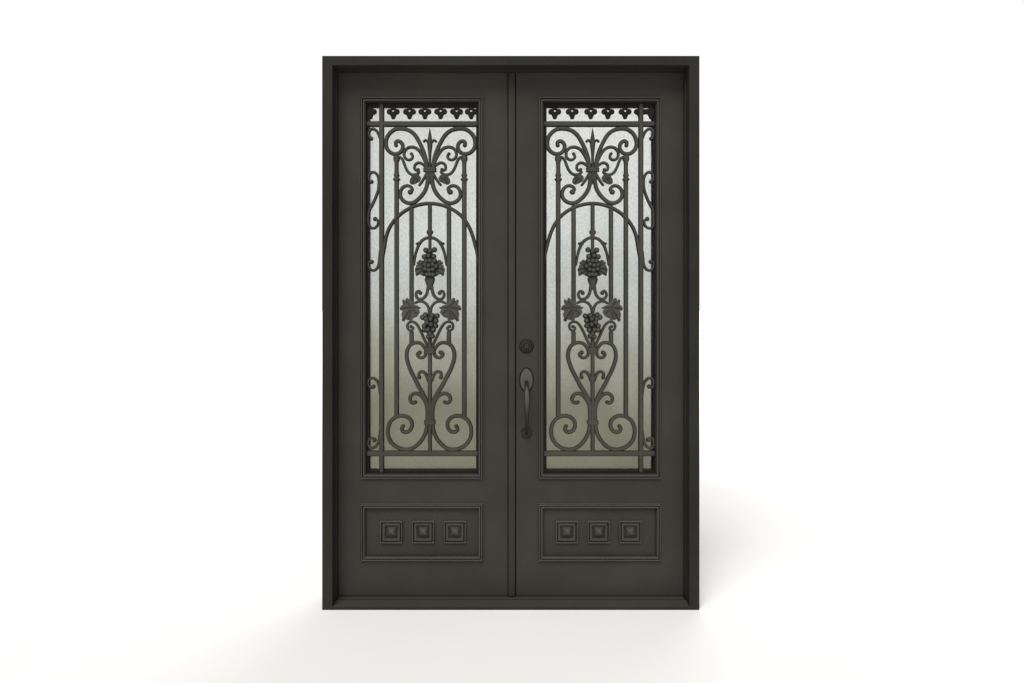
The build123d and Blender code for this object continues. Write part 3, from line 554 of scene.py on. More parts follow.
def smooth_path(knots: np.ndarray, step: float, blur: float = 1.5) -> np.ndarray:
    """A smooth line through given points, sampled evenly.

    It is the natural cubic spline over chord length. Its even samples are then averaged with their
    neighbours under a bell curve, about which the ends are turned over so that they stay.

    Args:
        knots: The points.
        step: The spacing of the samples.
        blur: The bell curve's width in samples.

    Returns:
        The samples.
    """
    knots = np.asarray(knots, float)
    at = np.concatenate([[0], np.cumsum(np.linalg.norm(np.diff(knots, axis=0), axis=1))])
    gap, slope = np.diff(at), np.diff(knots, axis=0) / np.diff(at)[:, None]
    system, pull = np.eye(len(knots)), np.zeros_like(knots)
    inner = np.arange(1, len(knots) - 1)
    system[inner, inner - 1], system[inner, inner + 1] = gap[:-1], gap[1:]
    system[inner, inner] = 2 * (gap[:-1] + gap[1:])
    pull[1:-1] = 6 * np.diff(slope, axis=0)
    bend = np.linalg.solve(system, pull)
    fine = np.linspace(0, at[-1], FINE_SAMPLES * len(knots))
    span = np.clip(np.searchsorted(at, fine) - 1, 0, len(gap) - 1)
    wide, left, right = gap[span, None], (fine - at[span])[:, None], (at[span + 1] - fine)[:, None]
    line = (bend[span] * right**3 + bend[span + 1] * left**3) / (6 * wide)
    line += (knots[span] / wide - bend[span] * wide / 6) * right
    line += (knots[span + 1] / wide - bend[span + 1] * wide / 6) * left
    run = np.concatenate([[0], np.cumsum(np.linalg.norm(np.diff(line, axis=0), axis=1))])
    even = np.linspace(0, run[-1], max(LEAST_SAMPLES, int(run[-1] / step)))
    line = np.stack([np.interp(even, run, values) for values in line.T], axis=-1)
    reach = min(int(BELL_REACH * blur), len(line) - 1)
    bell = np.exp(-0.5 * (np.arange(-reach, reach + 1) / blur) ** 2)
    before, beyond = 2 * line[0] - line[reach:0:-1], 2 * line[-1] - line[-2:-reach - 2:-1]
    padded = np.concatenate([before, line, beyond])
    return np.stack([np.convolve(values, bell / bell.sum(), "valid") for values in padded.T], axis=-1)


def sweep(
    path: np.ndarray, axis: tuple, wide: "np.ndarray | float", deep: "np.ndarray | float",
    power: float, sides: int = 16,
) -> Shape:
    """A superellipse section carried along a flat path.

    Each point is the path's point, plus the in-plane normal times half the width times the section's
    first coordinate, plus the plane's axis times half the depth times its second.

    Args:
        path: Places along the path.
        axis: Unit normal of the path's plane.
        wide: Width in the plane at each place.
        deep: Depth along the axis at each place.
        power: How square the section is.
        sides: Points in the section.

    Returns:
        The closed bar.
    """
    across = np.cross(np.asarray(axis, float), np.gradient(path, axis=0))
    across /= np.linalg.norm(across, axis=1, keepdims=True)
    unit = superellipse(sides, power)
    half_wide, half_deep = (np.broadcast_to(size, len(path))[:, None, None] / 2 for size in (wide, deep))
    rings = path[:, None] + across[:, None] * (unit[None, :, :1] * half_wide)
    return skin(rings + np.asarray(axis) * (unit[None, :, 1:] * half_deep))


def ball(centre: tuple, radii: tuple, sides: int = 18) -> Shape:
    """An ellipsoid: rings of radius sine at height minus cosine, scaled by its three radii.

    Args:
        centre: Its middle.
        radii: Half sizes along X, Y and Z.
        sides: Points in a ring.

    Returns:
        The ellipsoid.
    """
    rise = np.linspace(POLE_GAP, np.pi - POLE_GAP, sides // 2)[:, None]
    across, up = circle(sides).T
    unit = np.stack(np.broadcast_arrays(np.sin(rise) * across, -np.cos(rise), np.sin(rise) * up), axis=-1)
    return skin(np.asarray(centre) + unit * np.asarray(radii))


def turned(centre: tuple, profile: tuple, stretch: tuple = (1, 1), sides: int = 56) -> Shape:
    """A profile of radius and depth turned about an axis along Y, stretched across and up.

    Args:
        centre: The axis in X and Z.
        profile: Rows of radius and Y.
        stretch: Factors on the radius in X and Z.
        sides: Points in a ring.

    Returns:
        The turned shape.
    """
    rows = np.asarray(profile, float)
    across, up = circle(sides).T
    x = centre[0] + stretch[0] * rows[:, :1] * across
    z = centre[1] + stretch[1] * rows[:, :1] * up
    return skin(np.stack(np.broadcast_arrays(x, rows[:, 1:], z), axis=-1))


def soft_box(low: tuple, high: tuple, radius: float) -> Shape:
    """A box with rounded edges: a sphere's grid, cut at its octants and moved out to the box's corners.

    Args:
        low: Its lowest corner.
        high: Its highest corner.
        radius: The radius of its edges.

    Returns:
        The box.
    """
    low, high = np.asarray(low, float), np.asarray(high, float)
    quarter = np.linspace(0, np.pi / 2, EDGE_POINTS)
    turn = (quarter + np.arange(len(SQUARE))[:, None] * np.pi / 2).ravel()
    rise = np.concatenate([quarter - np.pi / 2, quarter])[:, None]
    corner = np.repeat(-SQUARE, EDGE_POINTS, axis=0)
    half, middle = (high - low) / 2 - radius, (high + low) / 2
    up = np.repeat([-1, 1], EDGE_POINTS)[:, None]
    x = middle[0] + corner[:, 0] * half[0] + radius * np.cos(rise) * np.cos(turn)
    y = middle[1] + corner[:, 1] * half[1] + radius * np.cos(rise) * np.sin(turn)
    z = middle[2] + up * half[2] + radius * np.sin(rise)
    return skin(np.stack(np.broadcast_arrays(x, y, z), axis=-1))


def standing(table: tuple, face: float, way: int) -> np.ndarray:
    """A section in millimetres as inset, or radius, and Y, standing out of a face along Y.

    Args:
        table: Rows of inset, or radius, and height.
        face: The face's Y.
        way: 1 for a face that looks along Y and -1 for one that looks against it.

    Returns:
        The rows in metres.
    """
    rows = np.asarray(table, float) * MM
    return np.stack([rows[:, 0], face + way * rows[:, 1]], axis=-1)


def framed(low: tuple, high: tuple, profile: np.ndarray, aside: "np.ndarray | float" = 0.0) -> Shape:
    """A closed profile of inset and Y carried round a rectangle, mitred at its corners.

    Args:
        low: The rectangle's lowest X and Z.
        high: Its highest X and Z.
        profile: Rows of inset from the rectangle's edge and Y.
        aside: How far along X each row is moved.

    Returns:
        The ring.
    """
    low, high = np.asarray(low, float), np.asarray(high, float)
    flat = (low + high) / 2 + SQUARE[:, None] * ((high - low) / 2 - profile[None, :, :1])
    deep = np.broadcast_to(profile[None, :, 1], flat.shape[:2])
    return skin(np.stack([flat[..., 0] + aside, deep, flat[..., 1]], axis=-1), closed=True)


def stepped(centre: tuple, half: float, profile: np.ndarray) -> Shape:
    """Square rings of growing inset, each at its own Y, closed at the innermost.

    Args:
        centre: The middle in X and Z.
        half: Half the side of the outermost square.
        profile: Rows of inset and Y.

    Returns:
        The stepped square.
    """
    flat = np.asarray(centre) + SQUARE * (half - profile[:, None, :1])
    deep = np.broadcast_to(profile[:, 1:], flat.shape[:2])
    return skin(np.stack([flat[..., 0], deep, flat[..., 1]], axis=-1))


@dataclass
class Nodes:
    """A material's node tree, with short ways to add nodes and join them.

    Attributes:
        name: The material's name.
    """

    name: str

    def __post_init__(self) -> None:
        """Makes the material with its shader."""
        self.material = bpy.data.materials.new(self.name)
        self.material.use_nodes = True
        self.tree = self.material.node_tree
        self.shader = self.tree.nodes["Principled BSDF"]
        self.coords = self.add("ShaderNodeTexCoord")

    def put(self, socket: bpy.types.NodeSocket, value: object) -> None:
        """Sets a socket, or links it where the value is another node's output.

        Args:
            socket: The input.
            value: A constant or an output.
        """
        if isinstance(value, bpy.types.NodeSocket):
            self.tree.links.new(value, socket)
        else:
            socket.default_value = value

    def add(self, kind: str, **inputs: object) -> bpy.types.Node:
        """Adds a node and sets or links its inputs by name.

        Args:
            kind: The node's type.
            inputs: Values or outputs for its inputs, with _ for a space.

        Returns:
            The node.
        """
        node = self.tree.nodes.new(kind)
        for name, value in inputs.items():
            self.put(node.inputs[name.replace("_", " ")], value)
        return node

    def surface(self, **inputs: object) -> None:
        """Sets or links inputs of the shader by name, with _ for a space."""
        for name, value in inputs.items():
            self.put(self.shader.inputs[name.replace("_", " ")], value)

    def sum(self, operation: str, *values: object) -> bpy.types.NodeSocket:
        """A sum on one or two values.

        Args:
            operation: The node's operation.
            values: Constants or outputs.

        Returns:
            Its result.
        """
        node = self.tree.nodes.new("ShaderNodeMath")
        node.operation = operation
        for socket, value in zip(node.inputs, values):
            self.put(socket, value)
        return node.outputs[0]

    def noise(self, scale: float, detail: float, stretch: tuple = (1, 1, 1)) -> bpy.types.NodeSocket:
        """Noise on the object's own coordinates.

        Args:
            scale: Its grain, in cells a metre.
            detail: How many finer layers it has.
            stretch: Factors on the coordinates.

        Returns:
            Its value.
        """
        spot = self.add("ShaderNodeMapping", Vector=self.coords.outputs["Object"], Scale=stretch)
        noise = self.add("ShaderNodeTexNoise", Vector=spot.outputs[0], Scale=scale, Detail=detail)
        return noise.outputs["Fac"]

    def ranged(
        self, value: bpy.types.NodeSocket, ends: tuple, to: tuple = (0, 1),
    ) -> bpy.types.NodeSocket:
        """A value carried from one range to another and kept within it.

        Args:
            value: What is carried.
            ends: The range that it has.
            to: The range that it gets.

        Returns:
            The new value.
        """
        node = self.add("ShaderNodeMapRange", Value=value)
        for name, number in zip(("From Min", "From Max", "To Min", "To Max"), (*ends, *to)):
            node.inputs[name].default_value = number
        return node.outputs[0]

    def mix(self, share: bpy.types.NodeSocket, first: object, second: object) -> bpy.types.NodeSocket:
        """A mix of two colours.

        Args:
            share: How much of the second.
            first: A colour or an output.
            second: A colour or an output.

        Returns:
            The mixed colour.
        """
        node = self.tree.nodes.new("ShaderNodeMix")
        node.data_type = "RGBA"
        sockets = {socket.identifier: socket for socket in node.inputs}
        for name, value in (("Factor_Float", share), ("A_Color", first), ("B_Color", second)):
            self.put(sockets[name], value)
        return next(socket for socket in node.outputs if socket.identifier == "Result_Color")

    def bump(self, height: bpy.types.NodeSocket, strength: float, deep: float) -> None:
        """Links a height to the shader's normal as bump."""
        node = self.add("ShaderNodeBump", Height=height, Strength=strength, Distance=deep)
        self.surface(Normal=node.outputs[0])

    def facing(self, axis: str) -> bpy.types.NodeSocket:
        """How far the surface faces along one of the object's axes, from -1 to 1."""
        return self.add("ShaderNodeSeparateXYZ", Vector=self.coords.outputs["Normal"]).outputs[axis]

    def place(self, axis: str) -> bpy.types.NodeSocket:
        """The place along one of the object's axes, in metres."""
        return self.add("ShaderNodeSeparateXYZ", Vector=self.coords.outputs["Object"]).outputs[axis]


def rgba(colour: tuple, level: float = 1.0) -> tuple:
    """A colour at a level of brightness, with full cover."""
    return (*(level * tone for tone in colour), 1.0)


# Weathering, painted light and painted shade that all coatings share: cells a metre and layers of the
# clouds and of the duller patches, the bands of noise and of facing in which each effect sets in, and its
# share
CLOUDS = (3.2, 5.0)
PATCHES = (38, 4.0)
GRAIN_LAYERS = 2.0
GRAIN_STRENGTH = 0.35
NOISE_BAND = (0.3, 0.7)
SPECK_BAND = (0.58, 0.75)
SPECK_SHARE = 0.25
CREST_FACING = (-0.4, 0.02)
CREST_SHARE = 0.45
SIDE_FACING = (0.7, 0.998)
DUST_AND_LIGHT_FACING = (0.2, 0.85)
LOW_SHADE_SHARE = 0.8
SHADE = 0.2


@dataclass(frozen=True)
class Coating:
    """Paint or patina on metal: clouded colour, dusting and painted light from above on what faces up, a
    painted highlight on raised work, painted shade on the sides and a fine grain.

    Attributes:
        name: The material's name.
        dark: Colour of its darker clouds.
        light: Colour of its lighter clouds.
        dust_and_light: Colour of the specks, of the dusting and painted light from above on upper faces,
            and of the painted highlight on crests.
        dust_and_light_share: Share of the dusting and painted light from above there.
        sides: How much painted shade darkens faces turned away from the front.
        rough: Range of its roughness.
        metal: How metallic it is.
        gloss: Specular level.
        grain: Cells a metre of the fine grain.
        relief: Depth of the grain's bump in metres.
        shaded_below: Heights in metres between which painted shade, full below them, fades out, if any.
        crests: Distances from the leaf's middle over which raised work that doesn't face down takes a
            painted highlight, if any.
    """

    name: str
    dark: tuple
    light: tuple
    dust_and_light: tuple
    dust_and_light_share: float = 0.35
    sides: float = 0.0
    rough: tuple = (0.54, 0.68)
    metal: float = 0.0
    gloss: float = 0.06
    grain: float = 420.0
    relief: float = 0.0004
    shaded_below: tuple = ()
    crests: tuple = ()

    @cached_property
    def material(self) -> bpy.types.Material:
        """The node material.

        Returns:
            The material, with each effect mixed over the one before it.
        """
        nodes = Nodes(self.name)
        dust_and_light, shade = rgba(self.dust_and_light), rgba(self.dark, SHADE)
        clouds = nodes.ranged(nodes.noise(*CLOUDS), NOISE_BAND)
        colour = nodes.mix(clouds, rgba(self.dark), rgba(self.light))
        fine = nodes.noise(self.grain, GRAIN_LAYERS)
        colour = nodes.mix(nodes.ranged(fine, SPECK_BAND, (0, SPECK_SHARE)), colour, dust_and_light)
        # Painted highlight on raised work that doesn't face down.
        if self.crests:
            apart = nodes.sum("ABSOLUTE", nodes.sum("SUBTRACT", nodes.place("Y"), LEAF_MIDDLE))
            raised = nodes.ranged(apart, self.crests, (0, CREST_SHARE))
            lit = nodes.ranged(nodes.facing("Z"), CREST_FACING)
            colour = nodes.mix(nodes.sum("MULTIPLY", raised, lit), colour, dust_and_light)
        # Painted shade on faces turned away from the front.
        if self.sides:
            away = nodes.ranged(nodes.sum("ABSOLUTE", nodes.facing("Y")), SIDE_FACING, (self.sides, 0))
            colour = nodes.mix(away, colour, shade)
        # Painted shade on what lies low, fading out between the given heights.
        if self.shaded_below:
            colour = nodes.mix(nodes.ranged(nodes.place("Z"), self.shaded_below, (LOW_SHADE_SHARE, 0)), colour, shade)
        # Dusting and painted light from above on upward faces.
        upward = nodes.ranged(nodes.facing("Z"), DUST_AND_LIGHT_FACING, (0, self.dust_and_light_share))
        nodes.surface(
            Base_Color=nodes.mix(upward, colour, dust_and_light),
            Roughness=nodes.ranged(nodes.noise(*PATCHES), NOISE_BAND, self.rough),
            Metallic=self.metal,
            Specular_IOR_Level=self.gloss,
        )
        nodes.bump(fine, GRAIN_STRENGTH, self.relief)
        return nodes.material


@dataclass(frozen=True)
class RainGlass:
    """Obscure glass with a fine pebbled face, and a painted view of its surroundings seen in and through
    it: pale above and olive towards its foot.

    Attributes:
        name: The material's name.
        tones: Height in metres and colour of the painted view, from the foot up.
        rough: Roughness.
        clear: Share of light that passes.
        index: Index of refraction.
        waves: Cells a metre, layers and stretch of the slow waves in its tones.
        sway: How far in metres the waves move the tones up and down.
        pebbles: Cells a metre, layers and stretch of the pebbled face.
        pits: Band of the pebbles' noise over which they darken.
        pitted: Share of the pits' colour.
        pit: Colour of the pits.
        bump: Strength of the pebbles' bump.
        relief: Depth of the pebbles' bump in metres.
    """

    name: str
    tones: tuple
    rough: float = 0.55
    clear: float = 1.0
    index: float = 1.5
    waves: tuple = (3.4, 1.0, (1, 1, 0.3))
    sway: float = 0.13
    pebbles: tuple = (125, 2.0, (1, 1, 0.8))
    pits: tuple = (0.36, 0.64)
    pitted: float = 0.34
    pit: tuple = (0.12, 0.13, 0.11)
    bump: float = 0.5
    relief: float = 0.002

    @cached_property
    def material(self) -> bpy.types.Material:
        """The node material.

        Returns:
            The material, with the painted view's tones on a ramp over the height.
        """
        nodes = Nodes(self.name)
        foot, top = self.tones[0][0], self.tones[-1][0]
        waves = nodes.ranged(nodes.noise(*self.waves), NOISE_BAND, (-self.sway, self.sway))
        share = nodes.ranged(nodes.sum("ADD", nodes.place("Z"), waves), (foot, top))
        ramp = nodes.add("ShaderNodeValToRGB", Fac=share)
        ramp.color_ramp.interpolation = "EASE"
        while len(ramp.color_ramp.elements) < len(self.tones):
            ramp.color_ramp.elements.new(0.5)
        for element, (height, colour) in zip(ramp.color_ramp.elements, self.tones):
            element.position = (height - foot) / (top - foot)
            element.color = rgba(colour)
        pebbles = nodes.noise(*self.pebbles)
        shade = nodes.ranged(pebbles, self.pits, (0, self.pitted))
        nodes.surface(
            Base_Color=nodes.mix(shade, ramp.outputs[0], rgba(self.pit)),
            Roughness=self.rough,
            Transmission_Weight=self.clear,
            IOR=self.index,
        )
        nodes.bump(pebbles, self.bump, self.relief)
        return nodes.material


PAINT = Coating("door_paint", (0.041, 0.039, 0.033), (0.052, 0.05, 0.043), (0.09, 0.085, 0.072))
# Mouldings and bosses: a painted highlight on their crests, painted shade on their sides, and dusting with
# painted light on upper faces.
MOULDED_PAINT = Coating(
    "moulded_paint", (0.04, 0.038, 0.032), (0.051, 0.049, 0.042), (0.13, 0.125, 0.11), 0.5, 0.95,
    crests=(0.0302, 0.0335),
)
# Painted shade on the sides of the astragal and its strip.
EDGED_PAINT = replace(MOULDED_PAINT, name="edged_paint", dust_and_light=PAINT.dust_and_light, crests=())
SHADED_PAINT = Coating(
    "shaded_paint", (0.015, 0.0145, 0.012), (0.021, 0.02, 0.017), (0.04, 0.038, 0.033), 0.2,
)
FRAME_PAINT = Coating("frame_paint", (0.023, 0.022, 0.018), (0.031, 0.03, 0.025), (0.075, 0.07, 0.06))
# Painted shade on the sides of the forged bars.
IRON = Coating(
    "forged_iron", (0.054, 0.053, 0.042), (0.074, 0.073, 0.059), (0.1, 0.096, 0.08), 0.3, 0.95,
    rough=(0.45, 0.62), grain=170, relief=0.0012,
)
# Painted shade on the sides of the castings.
CASTING = Coating(
    "cast_iron", (0.066, 0.066, 0.052), (0.094, 0.094, 0.076), (0.11, 0.106, 0.09), 0.3, 0.95,
    rough=(0.45, 0.62), grain=240, relief=0.0012,
)
SHADED_CASTING = Coating(
    "shaded_casting", (0.016, 0.015, 0.012), (0.024, 0.023, 0.019), (0.04, 0.038, 0.032), 0.2, 0.8,
    rough=(0.5, 0.7), grain=240, relief=0.0012,
)
# Painted shade on the sides of the hardware and on the lower part of the pull.
BRONZE = Coating(
    "oiled_bronze", (0.07, 0.068, 0.061), (0.105, 0.103, 0.094), (0.16, 0.155, 0.14), 0.0, 0.95,
    rough=(0.5, 0.62), metal=0.3, gloss=0.15, grain=600, relief=0.0002, shaded_below=(0.85, 0.94),
)
# Painted shade on the sides of the deadbolt's rose.
DARK_BRONZE = Coating(
    "dark_bronze", (0.034, 0.032, 0.028), (0.046, 0.044, 0.038), (0.08, 0.075, 0.062), 0.15, 0.95,
    rough=(0.45, 0.6), metal=0.1, gloss=0.1, grain=600, relief=0.0002,
)
STEEL = Coating(
    "hinge_steel", (0.028, 0.026, 0.023), (0.04, 0.038, 0.033), (0.09, 0.085, 0.07), 0.2,
    rough=(0.32, 0.45),
)
RUBBER = Coating(
    "black_seal", (0.008, 0.008, 0.008), (0.014, 0.014, 0.013), (0.03, 0.03, 0.028), 0.1,
    rough=(0.7, 0.9),
)
# Painted light: the tones stand in for the surroundings seen in and through the glass.
GLASS = RainGlass(
    "rain_glass",
    (
        (0.575, (0.265, 0.26, 0.19)), (0.80, (0.235, 0.234, 0.17)), (1.05, (0.37, 0.375, 0.305)),
        (1.40, (0.62, 0.645, 0.60)), (1.70, (0.77, 0.79, 0.755)), (2.261, (0.80, 0.81, 0.775)),
    ),
)


def piece(
    name: str, shape: Shape, finish: "Coating | RainGlass", body: str, slot: "Slot | None", *nodes: str,
) -> None:
    """Makes one finished piece that rides on a CAD body.

    Args:
        name: The piece's name.
        shape: Its points and faces.
        finish: The finish that gives its material.
        body: The CAD body that carries it.
        slot: The record's material slot, if it has one; not used.
        nodes: CAD nodes that it stands for.
    """
    mesh = bpy.data.meshes.new(name)
    mesh.from_pydata(shape.points.tolist(), [], shape.quads.tolist() + shape.tris.tolist())
    mesh.shade_smooth()
    mesh.set_sharp_from_angle(angle=SHARP_EDGE)
    mesh.materials.append(finish.material)
    item = bpy.data.objects.new(name, mesh)
    bpy.context.scene.collection.objects.link(item)
    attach(item, body)
    if nodes:
        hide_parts(*nodes)
    log.info("%s: %d triangles", name, 2 * len(shape.quads) + len(shape.tris))


def coat(node: str, finish: "Coating | RainGlass") -> None:
    """Gives a CAD node that stays a finish in place of its own material.

    Args:
        node: The CAD node's name.
        finish: The finish.
    """
    mesh = frame["nodes"][node].data
    mesh.materials.clear()
    mesh.materials.append(finish.material)


@dataclass(frozen=True)
class Scroll:
    """A forged bar bent along a line.

    Attributes:
        line: Photo pixels of its centre line, from its root to its tip.
        wide: Width in pixels at the root.
        tip: Width in pixels at the tip.
        knob: Radius in pixels of the ball at the tip, or 0.
        stretch: How much wider its mirror image is.
    """

    line: tuple
    wide: float
    tip: float
    knob: float = 0.0
    stretch: float = LOCK_STRETCH


@dataclass(frozen=True)
class Turning:
    """An upright piece that is turned or wrapped.

    Attributes:
        rows: Photo rows and widths in pixels, from the top down.
        front: Depth of its outer face where it is widest.
        back: Depth of its inner face there.
        power: How square its section is.
        sides: Points in its section.
    """

    rows: tuple
    front: float = KNOB_FRONT
    back: float = SCROLL_BACK
    power: float = 2.2
    sides: int = 20


@dataclass(frozen=True)
class CastLeaf:
    """A leaf cast in iron.

    Attributes:
        line: Photo pixels of its outline.
        veins: The veins' root and their tips.
        teeth: Depth of its teeth, as a share of its radius.
        stretch: How much wider its mirror image is.
    """

    line: tuple
    veins: tuple
    teeth: float = 0.0
    stretch: float = LOCK_STRETCH


@dataclass(frozen=True)
class Bunch:
    """A bunch of grapes.

    Attributes:
        spots: Photo pixels of the grapes.
        middle: The pixel in the middle of the bunch.
        reach: Pixels from there to its rim.
    """

    spots: tuple
    middle: tuple
    reach: float


SCROLLS = (
    Scroll(BIG_CROWN_PX, 4.2, 3.9, 2.1), Scroll(MEDIUM_CROWN_PX, 3.3, 2.8, 1.7),
    Scroll(SMALL_CROWN_PX, 3, 2.7, 1.9), Scroll(TENDRIL_PX, 2.9, 3),
    Scroll(LOWER_CROWN_PX, 4.2, 3.3, 2.8), Scroll(CROWN_TAIL_PX, 3, 2.6),
    Scroll(FINIAL_ARM_PX, 2.6, 2, 1.3), Scroll(SMALL_ARCH_PX, 3.2, 2.4),
    Scroll(LYRE_PX, 3.2, 2.6, 2.1), Scroll(LEAF_STEM_PX, 2.9, 2.8),
    Scroll(LEAF_CURL_PX, 2.9, 2.5, 1.8), Scroll(HEART_PX, 4.2, 3.2, 2.3, HEART_STRETCH),
    Scroll(STEM_CURL_PX, 3.4, 3.1, 2.2), Scroll(BASE_HOOK_PX, 3.9, 3.7, 2),
    Scroll(BASE_SCROLL_PX, 4.1, 3.9, 2.1, BASE_STRETCH),
)
BUDS_PX = ((417.2, 243.7, 1.5), (419.7, 243.3, 2.1))
BALUSTER = Turning(BALUSTER_PX, BALUSTER_FRONT, BALUSTER_BACK, 2.6)
CENTRE_KNOB = Turning(CENTRE_KNOB_PX, back=BAR_BACK)
TURNINGS = (
    Turning(FINIAL_PX, FINIAL_FRONT, power=1.7), Turning(TONGUE_PX, SCROLL_FRONT), Turning(CALYX_PX),
    Turning(STEM_KNOB_PX), Turning(CROWN_COLLAR_PX, COLLAR_FRONT, BAR_BACK, 5.5, 24),
    Turning(HEART_COLLAR_PX, COLLAR_FRONT, BAR_BACK, 5.5, 24),
    Turning(BASE_COLLAR_PX, COLLAR_FRONT, BAR_BACK, 5.5, 24),
)
BUNCHES = (Bunch(UPPER_GRAPES_PX, (429.5, 263), 13), Bunch(LOWER_GRAPES_PX, (429.5, 325), 12))
GRAPE_LEAF = CastLeaf(GRAPE_LEAF_PX, GRAPE_LEAF_VEINS_PX, 0.05)
VINE_LEAVES = (
    CastLeaf(MID_LEAF_PX, MID_LEAF_VEINS_PX, 0.06, LEAF_STRETCH),
    CastLeaf(CROWN_LEAF_PX, CROWN_LEAF_VEINS_PX),
)


@dataclass
class Grille:
    """The wrought grille of one leaf, drawn on the left leaf's window.

    Attributes:
        side: The leaf.
        flowers: Pixel columns of the cresting's flowers.
        shift: How far in pixels the ornament stands towards the lock.
        step: Spacing in pixels along the bent bars.
    """

    side: Side
    flowers: tuple
    shift: float = 0.0
    step: float = 0.62

    def __post_init__(self) -> None:
        """Takes the window from the left grille and the leaf's outer face from its stile."""
        self.low, self.high = (np.array(corner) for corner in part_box("left_grille_bars"))
        self.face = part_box("left_hinge_stile")[0][1]
        self.pixel = (self.high[0] - self.low[0]) / (LOCK_EDGE_PX - HINGE_EDGE_PX)
        self.rise = (self.high[2] - self.low[2]) / (BOTTOM_EDGE_PX - TOP_EDGE_PX)
        self.axis = self.place([[AXIS_PX, BOTTOM_EDGE_PX]], 0.0)[0, 0]

    def place(self, spots: np.ndarray, depth: "np.ndarray | float") -> np.ndarray:
        """Photo pixels as places on the left leaf at a depth behind its outer face.

        Args:
            spots: Rows of pixel column and row.
            depth: How far behind the outer face, for all or for each.

        Returns:
            The places.
        """
        spots = np.asarray(spots, float)
        x = self.low[0] + (spots[:, 0] + self.shift - HINGE_EDGE_PX) * self.pixel
        z = self.low[2] + (BOTTOM_EDGE_PX - spots[:, 1]) * self.rise
        return np.stack([x, np.broadcast_to(self.face + depth, x.shape), z], axis=-1)

    def across(self, top: float, bottom: float, front: float, back: float) -> tuple:
        """Lowest and highest corner of a bar that crosses the whole window between two pixel rows.

        Args:
            top: Row of its upper edge.
            bottom: Row of its lower edge.
            front: Depth of its outer face.
            back: Depth of its inner face.

        Returns:
            The two corners.
        """
        low, high = self.place([[HINGE_EDGE_PX, bottom], [LOCK_EDGE_PX, top]], front)
        high[1] = self.face + back
        low[0], high[0] = self.low[0], self.high[0]
        return low, high

    def straight(self, column: float, top: float, bottom: float, wide: float, front: float) -> Shape:
        """A straight upright bar with softly rounded edges.

        Args:
            column: Its pixel column.
            top: Pixel row of its upper end.
            bottom: Pixel row of its lower end.
            wide: Its width in pixels.
            front: Depth of its outer face.

        Returns:
            The bar.
        """
        low, high = self.place([[column - wide / 2, bottom], [column + wide / 2, top]], front)
        high[1] = self.face + BAR_BACK
        return soft_box(low, high, BAR_ROUND)

    def bent(self, scroll: Scroll) -> Shape:
        """One bent bar: its width eases from root to tip, and both ends close as a quarter circle does.

        Args:
            scroll: The bar.

        Returns:
            The bar with its knob.
        """
        spots = smooth_path(scroll.line, self.step)
        share, count = np.linspace(0, 1, len(spots)), np.arange(len(spots))
        ease = np.clip((share - TAPER_START) / (1 - TAPER_START), 0, 1)
        wide = scroll.wide + (scroll.tip - scroll.wide) * ease * ease * (3 - 2 * ease)
        reach = self.step * (END_LEAD + np.minimum(count, count[::-1]))
        end = np.clip(1 - reach / (0.5 * wide), 0, 1)
        wide = wide * self.pixel * np.sqrt(1 - end * end)
        thick = SCROLL_BACK - SCROLL_FRONT
        path = self.place(spots, (SCROLL_FRONT + SCROLL_BACK) / 2)
        bar = sweep(path, THROUGH_LEAF, wide, thick * np.sqrt(1 - END_FLAT * end * end), FORGED)
        if not scroll.knob:
            return bar
        radius = scroll.knob * self.pixel
        return Shape.joined([bar, ball(path[-1], (radius, thick * KNOB_DEEP, radius))])

    def upright(self, turning: Turning, column: float = AXIS_PX) -> Shape:
        """An upright piece whose width runs straight from row to row, with its depth following its width.

        Args:
            turning: The piece.
            column: Its pixel column.

        Returns:
            The piece.
        """
        table = np.asarray(turning.rows, float)
        heights = np.linspace(table[0, 0], table[-1, 0], ROW_SAMPLES * len(table))
        wide = np.interp(heights, table[:, 0], table[:, 1])
        spots = np.stack([np.full(len(heights), column), heights], axis=-1)
        path = self.place(spots, (turning.front + turning.back) / 2)
        share = NARROW_DEEP + (1 - NARROW_DEEP) * wide / table[:, 1].max()
        deep = (turning.back - turning.front) * share
        return sweep(path, THROUGH_LEAF, wide * self.pixel, deep, turning.power, turning.sides)

    def arch(self) -> Shape:
        """The round arch across the window, its two ends thinned where they run down into the uprights.

        Returns:
            The arch.
        """
        spots = smooth_path(ARCH_PX, self.step)
        count = np.arange(len(spots))
        left = self.step * np.minimum(count, count[::-1])
        wide = ARCH_WIDE_PX * (ARCH_THIN + (1 - ARCH_THIN) * np.clip(left / ARCH_TAIL_PX, 0, 1))
        path = self.place(spots, (ARCH_FRONT + BAR_BACK) / 2)
        return sweep(path, THROUGH_LEAF, wide * self.pixel, BAR_BACK - ARCH_FRONT, FORGED)

    def bars(self) -> Shape:
        """The straight bars, balusters, arch and border scrolls.

        Returns:
            All of them.
        """
        shapes = [self.straight(*BORDER_BAR_PX, BORDER_FRONT)]
        for row, wide in RAILS_PX:
            corners = self.across(row - wide / 2, row + wide / 2, BAR_FRONT, BAR_BACK)
            shapes.append(soft_box(*corners, BAR_ROUND))
        for bar in (OUTER_BAR_PX, *INNER_BARS_PX):
            shapes += self.straight(*bar, PAIRED_FRONT).pair(self.axis)
        shapes += self.upright(BALUSTER, OUTER_BAR_PX[0]).pair(self.axis)
        shapes += [self.straight(*CENTRE_BAR_PX, BAR_FRONT), self.upright(CENTRE_KNOB), self.arch()]
        nearest = (HINGE_EDGE_PX + BORDER_CLEAR_PX - self.shift, 0)
        for line in BORDER_SCROLLS_PX:
            shapes.append(self.bent(Scroll(np.maximum(line, nearest), *BORDER_SCROLL_PX)))
        return Shape.joined(shapes)

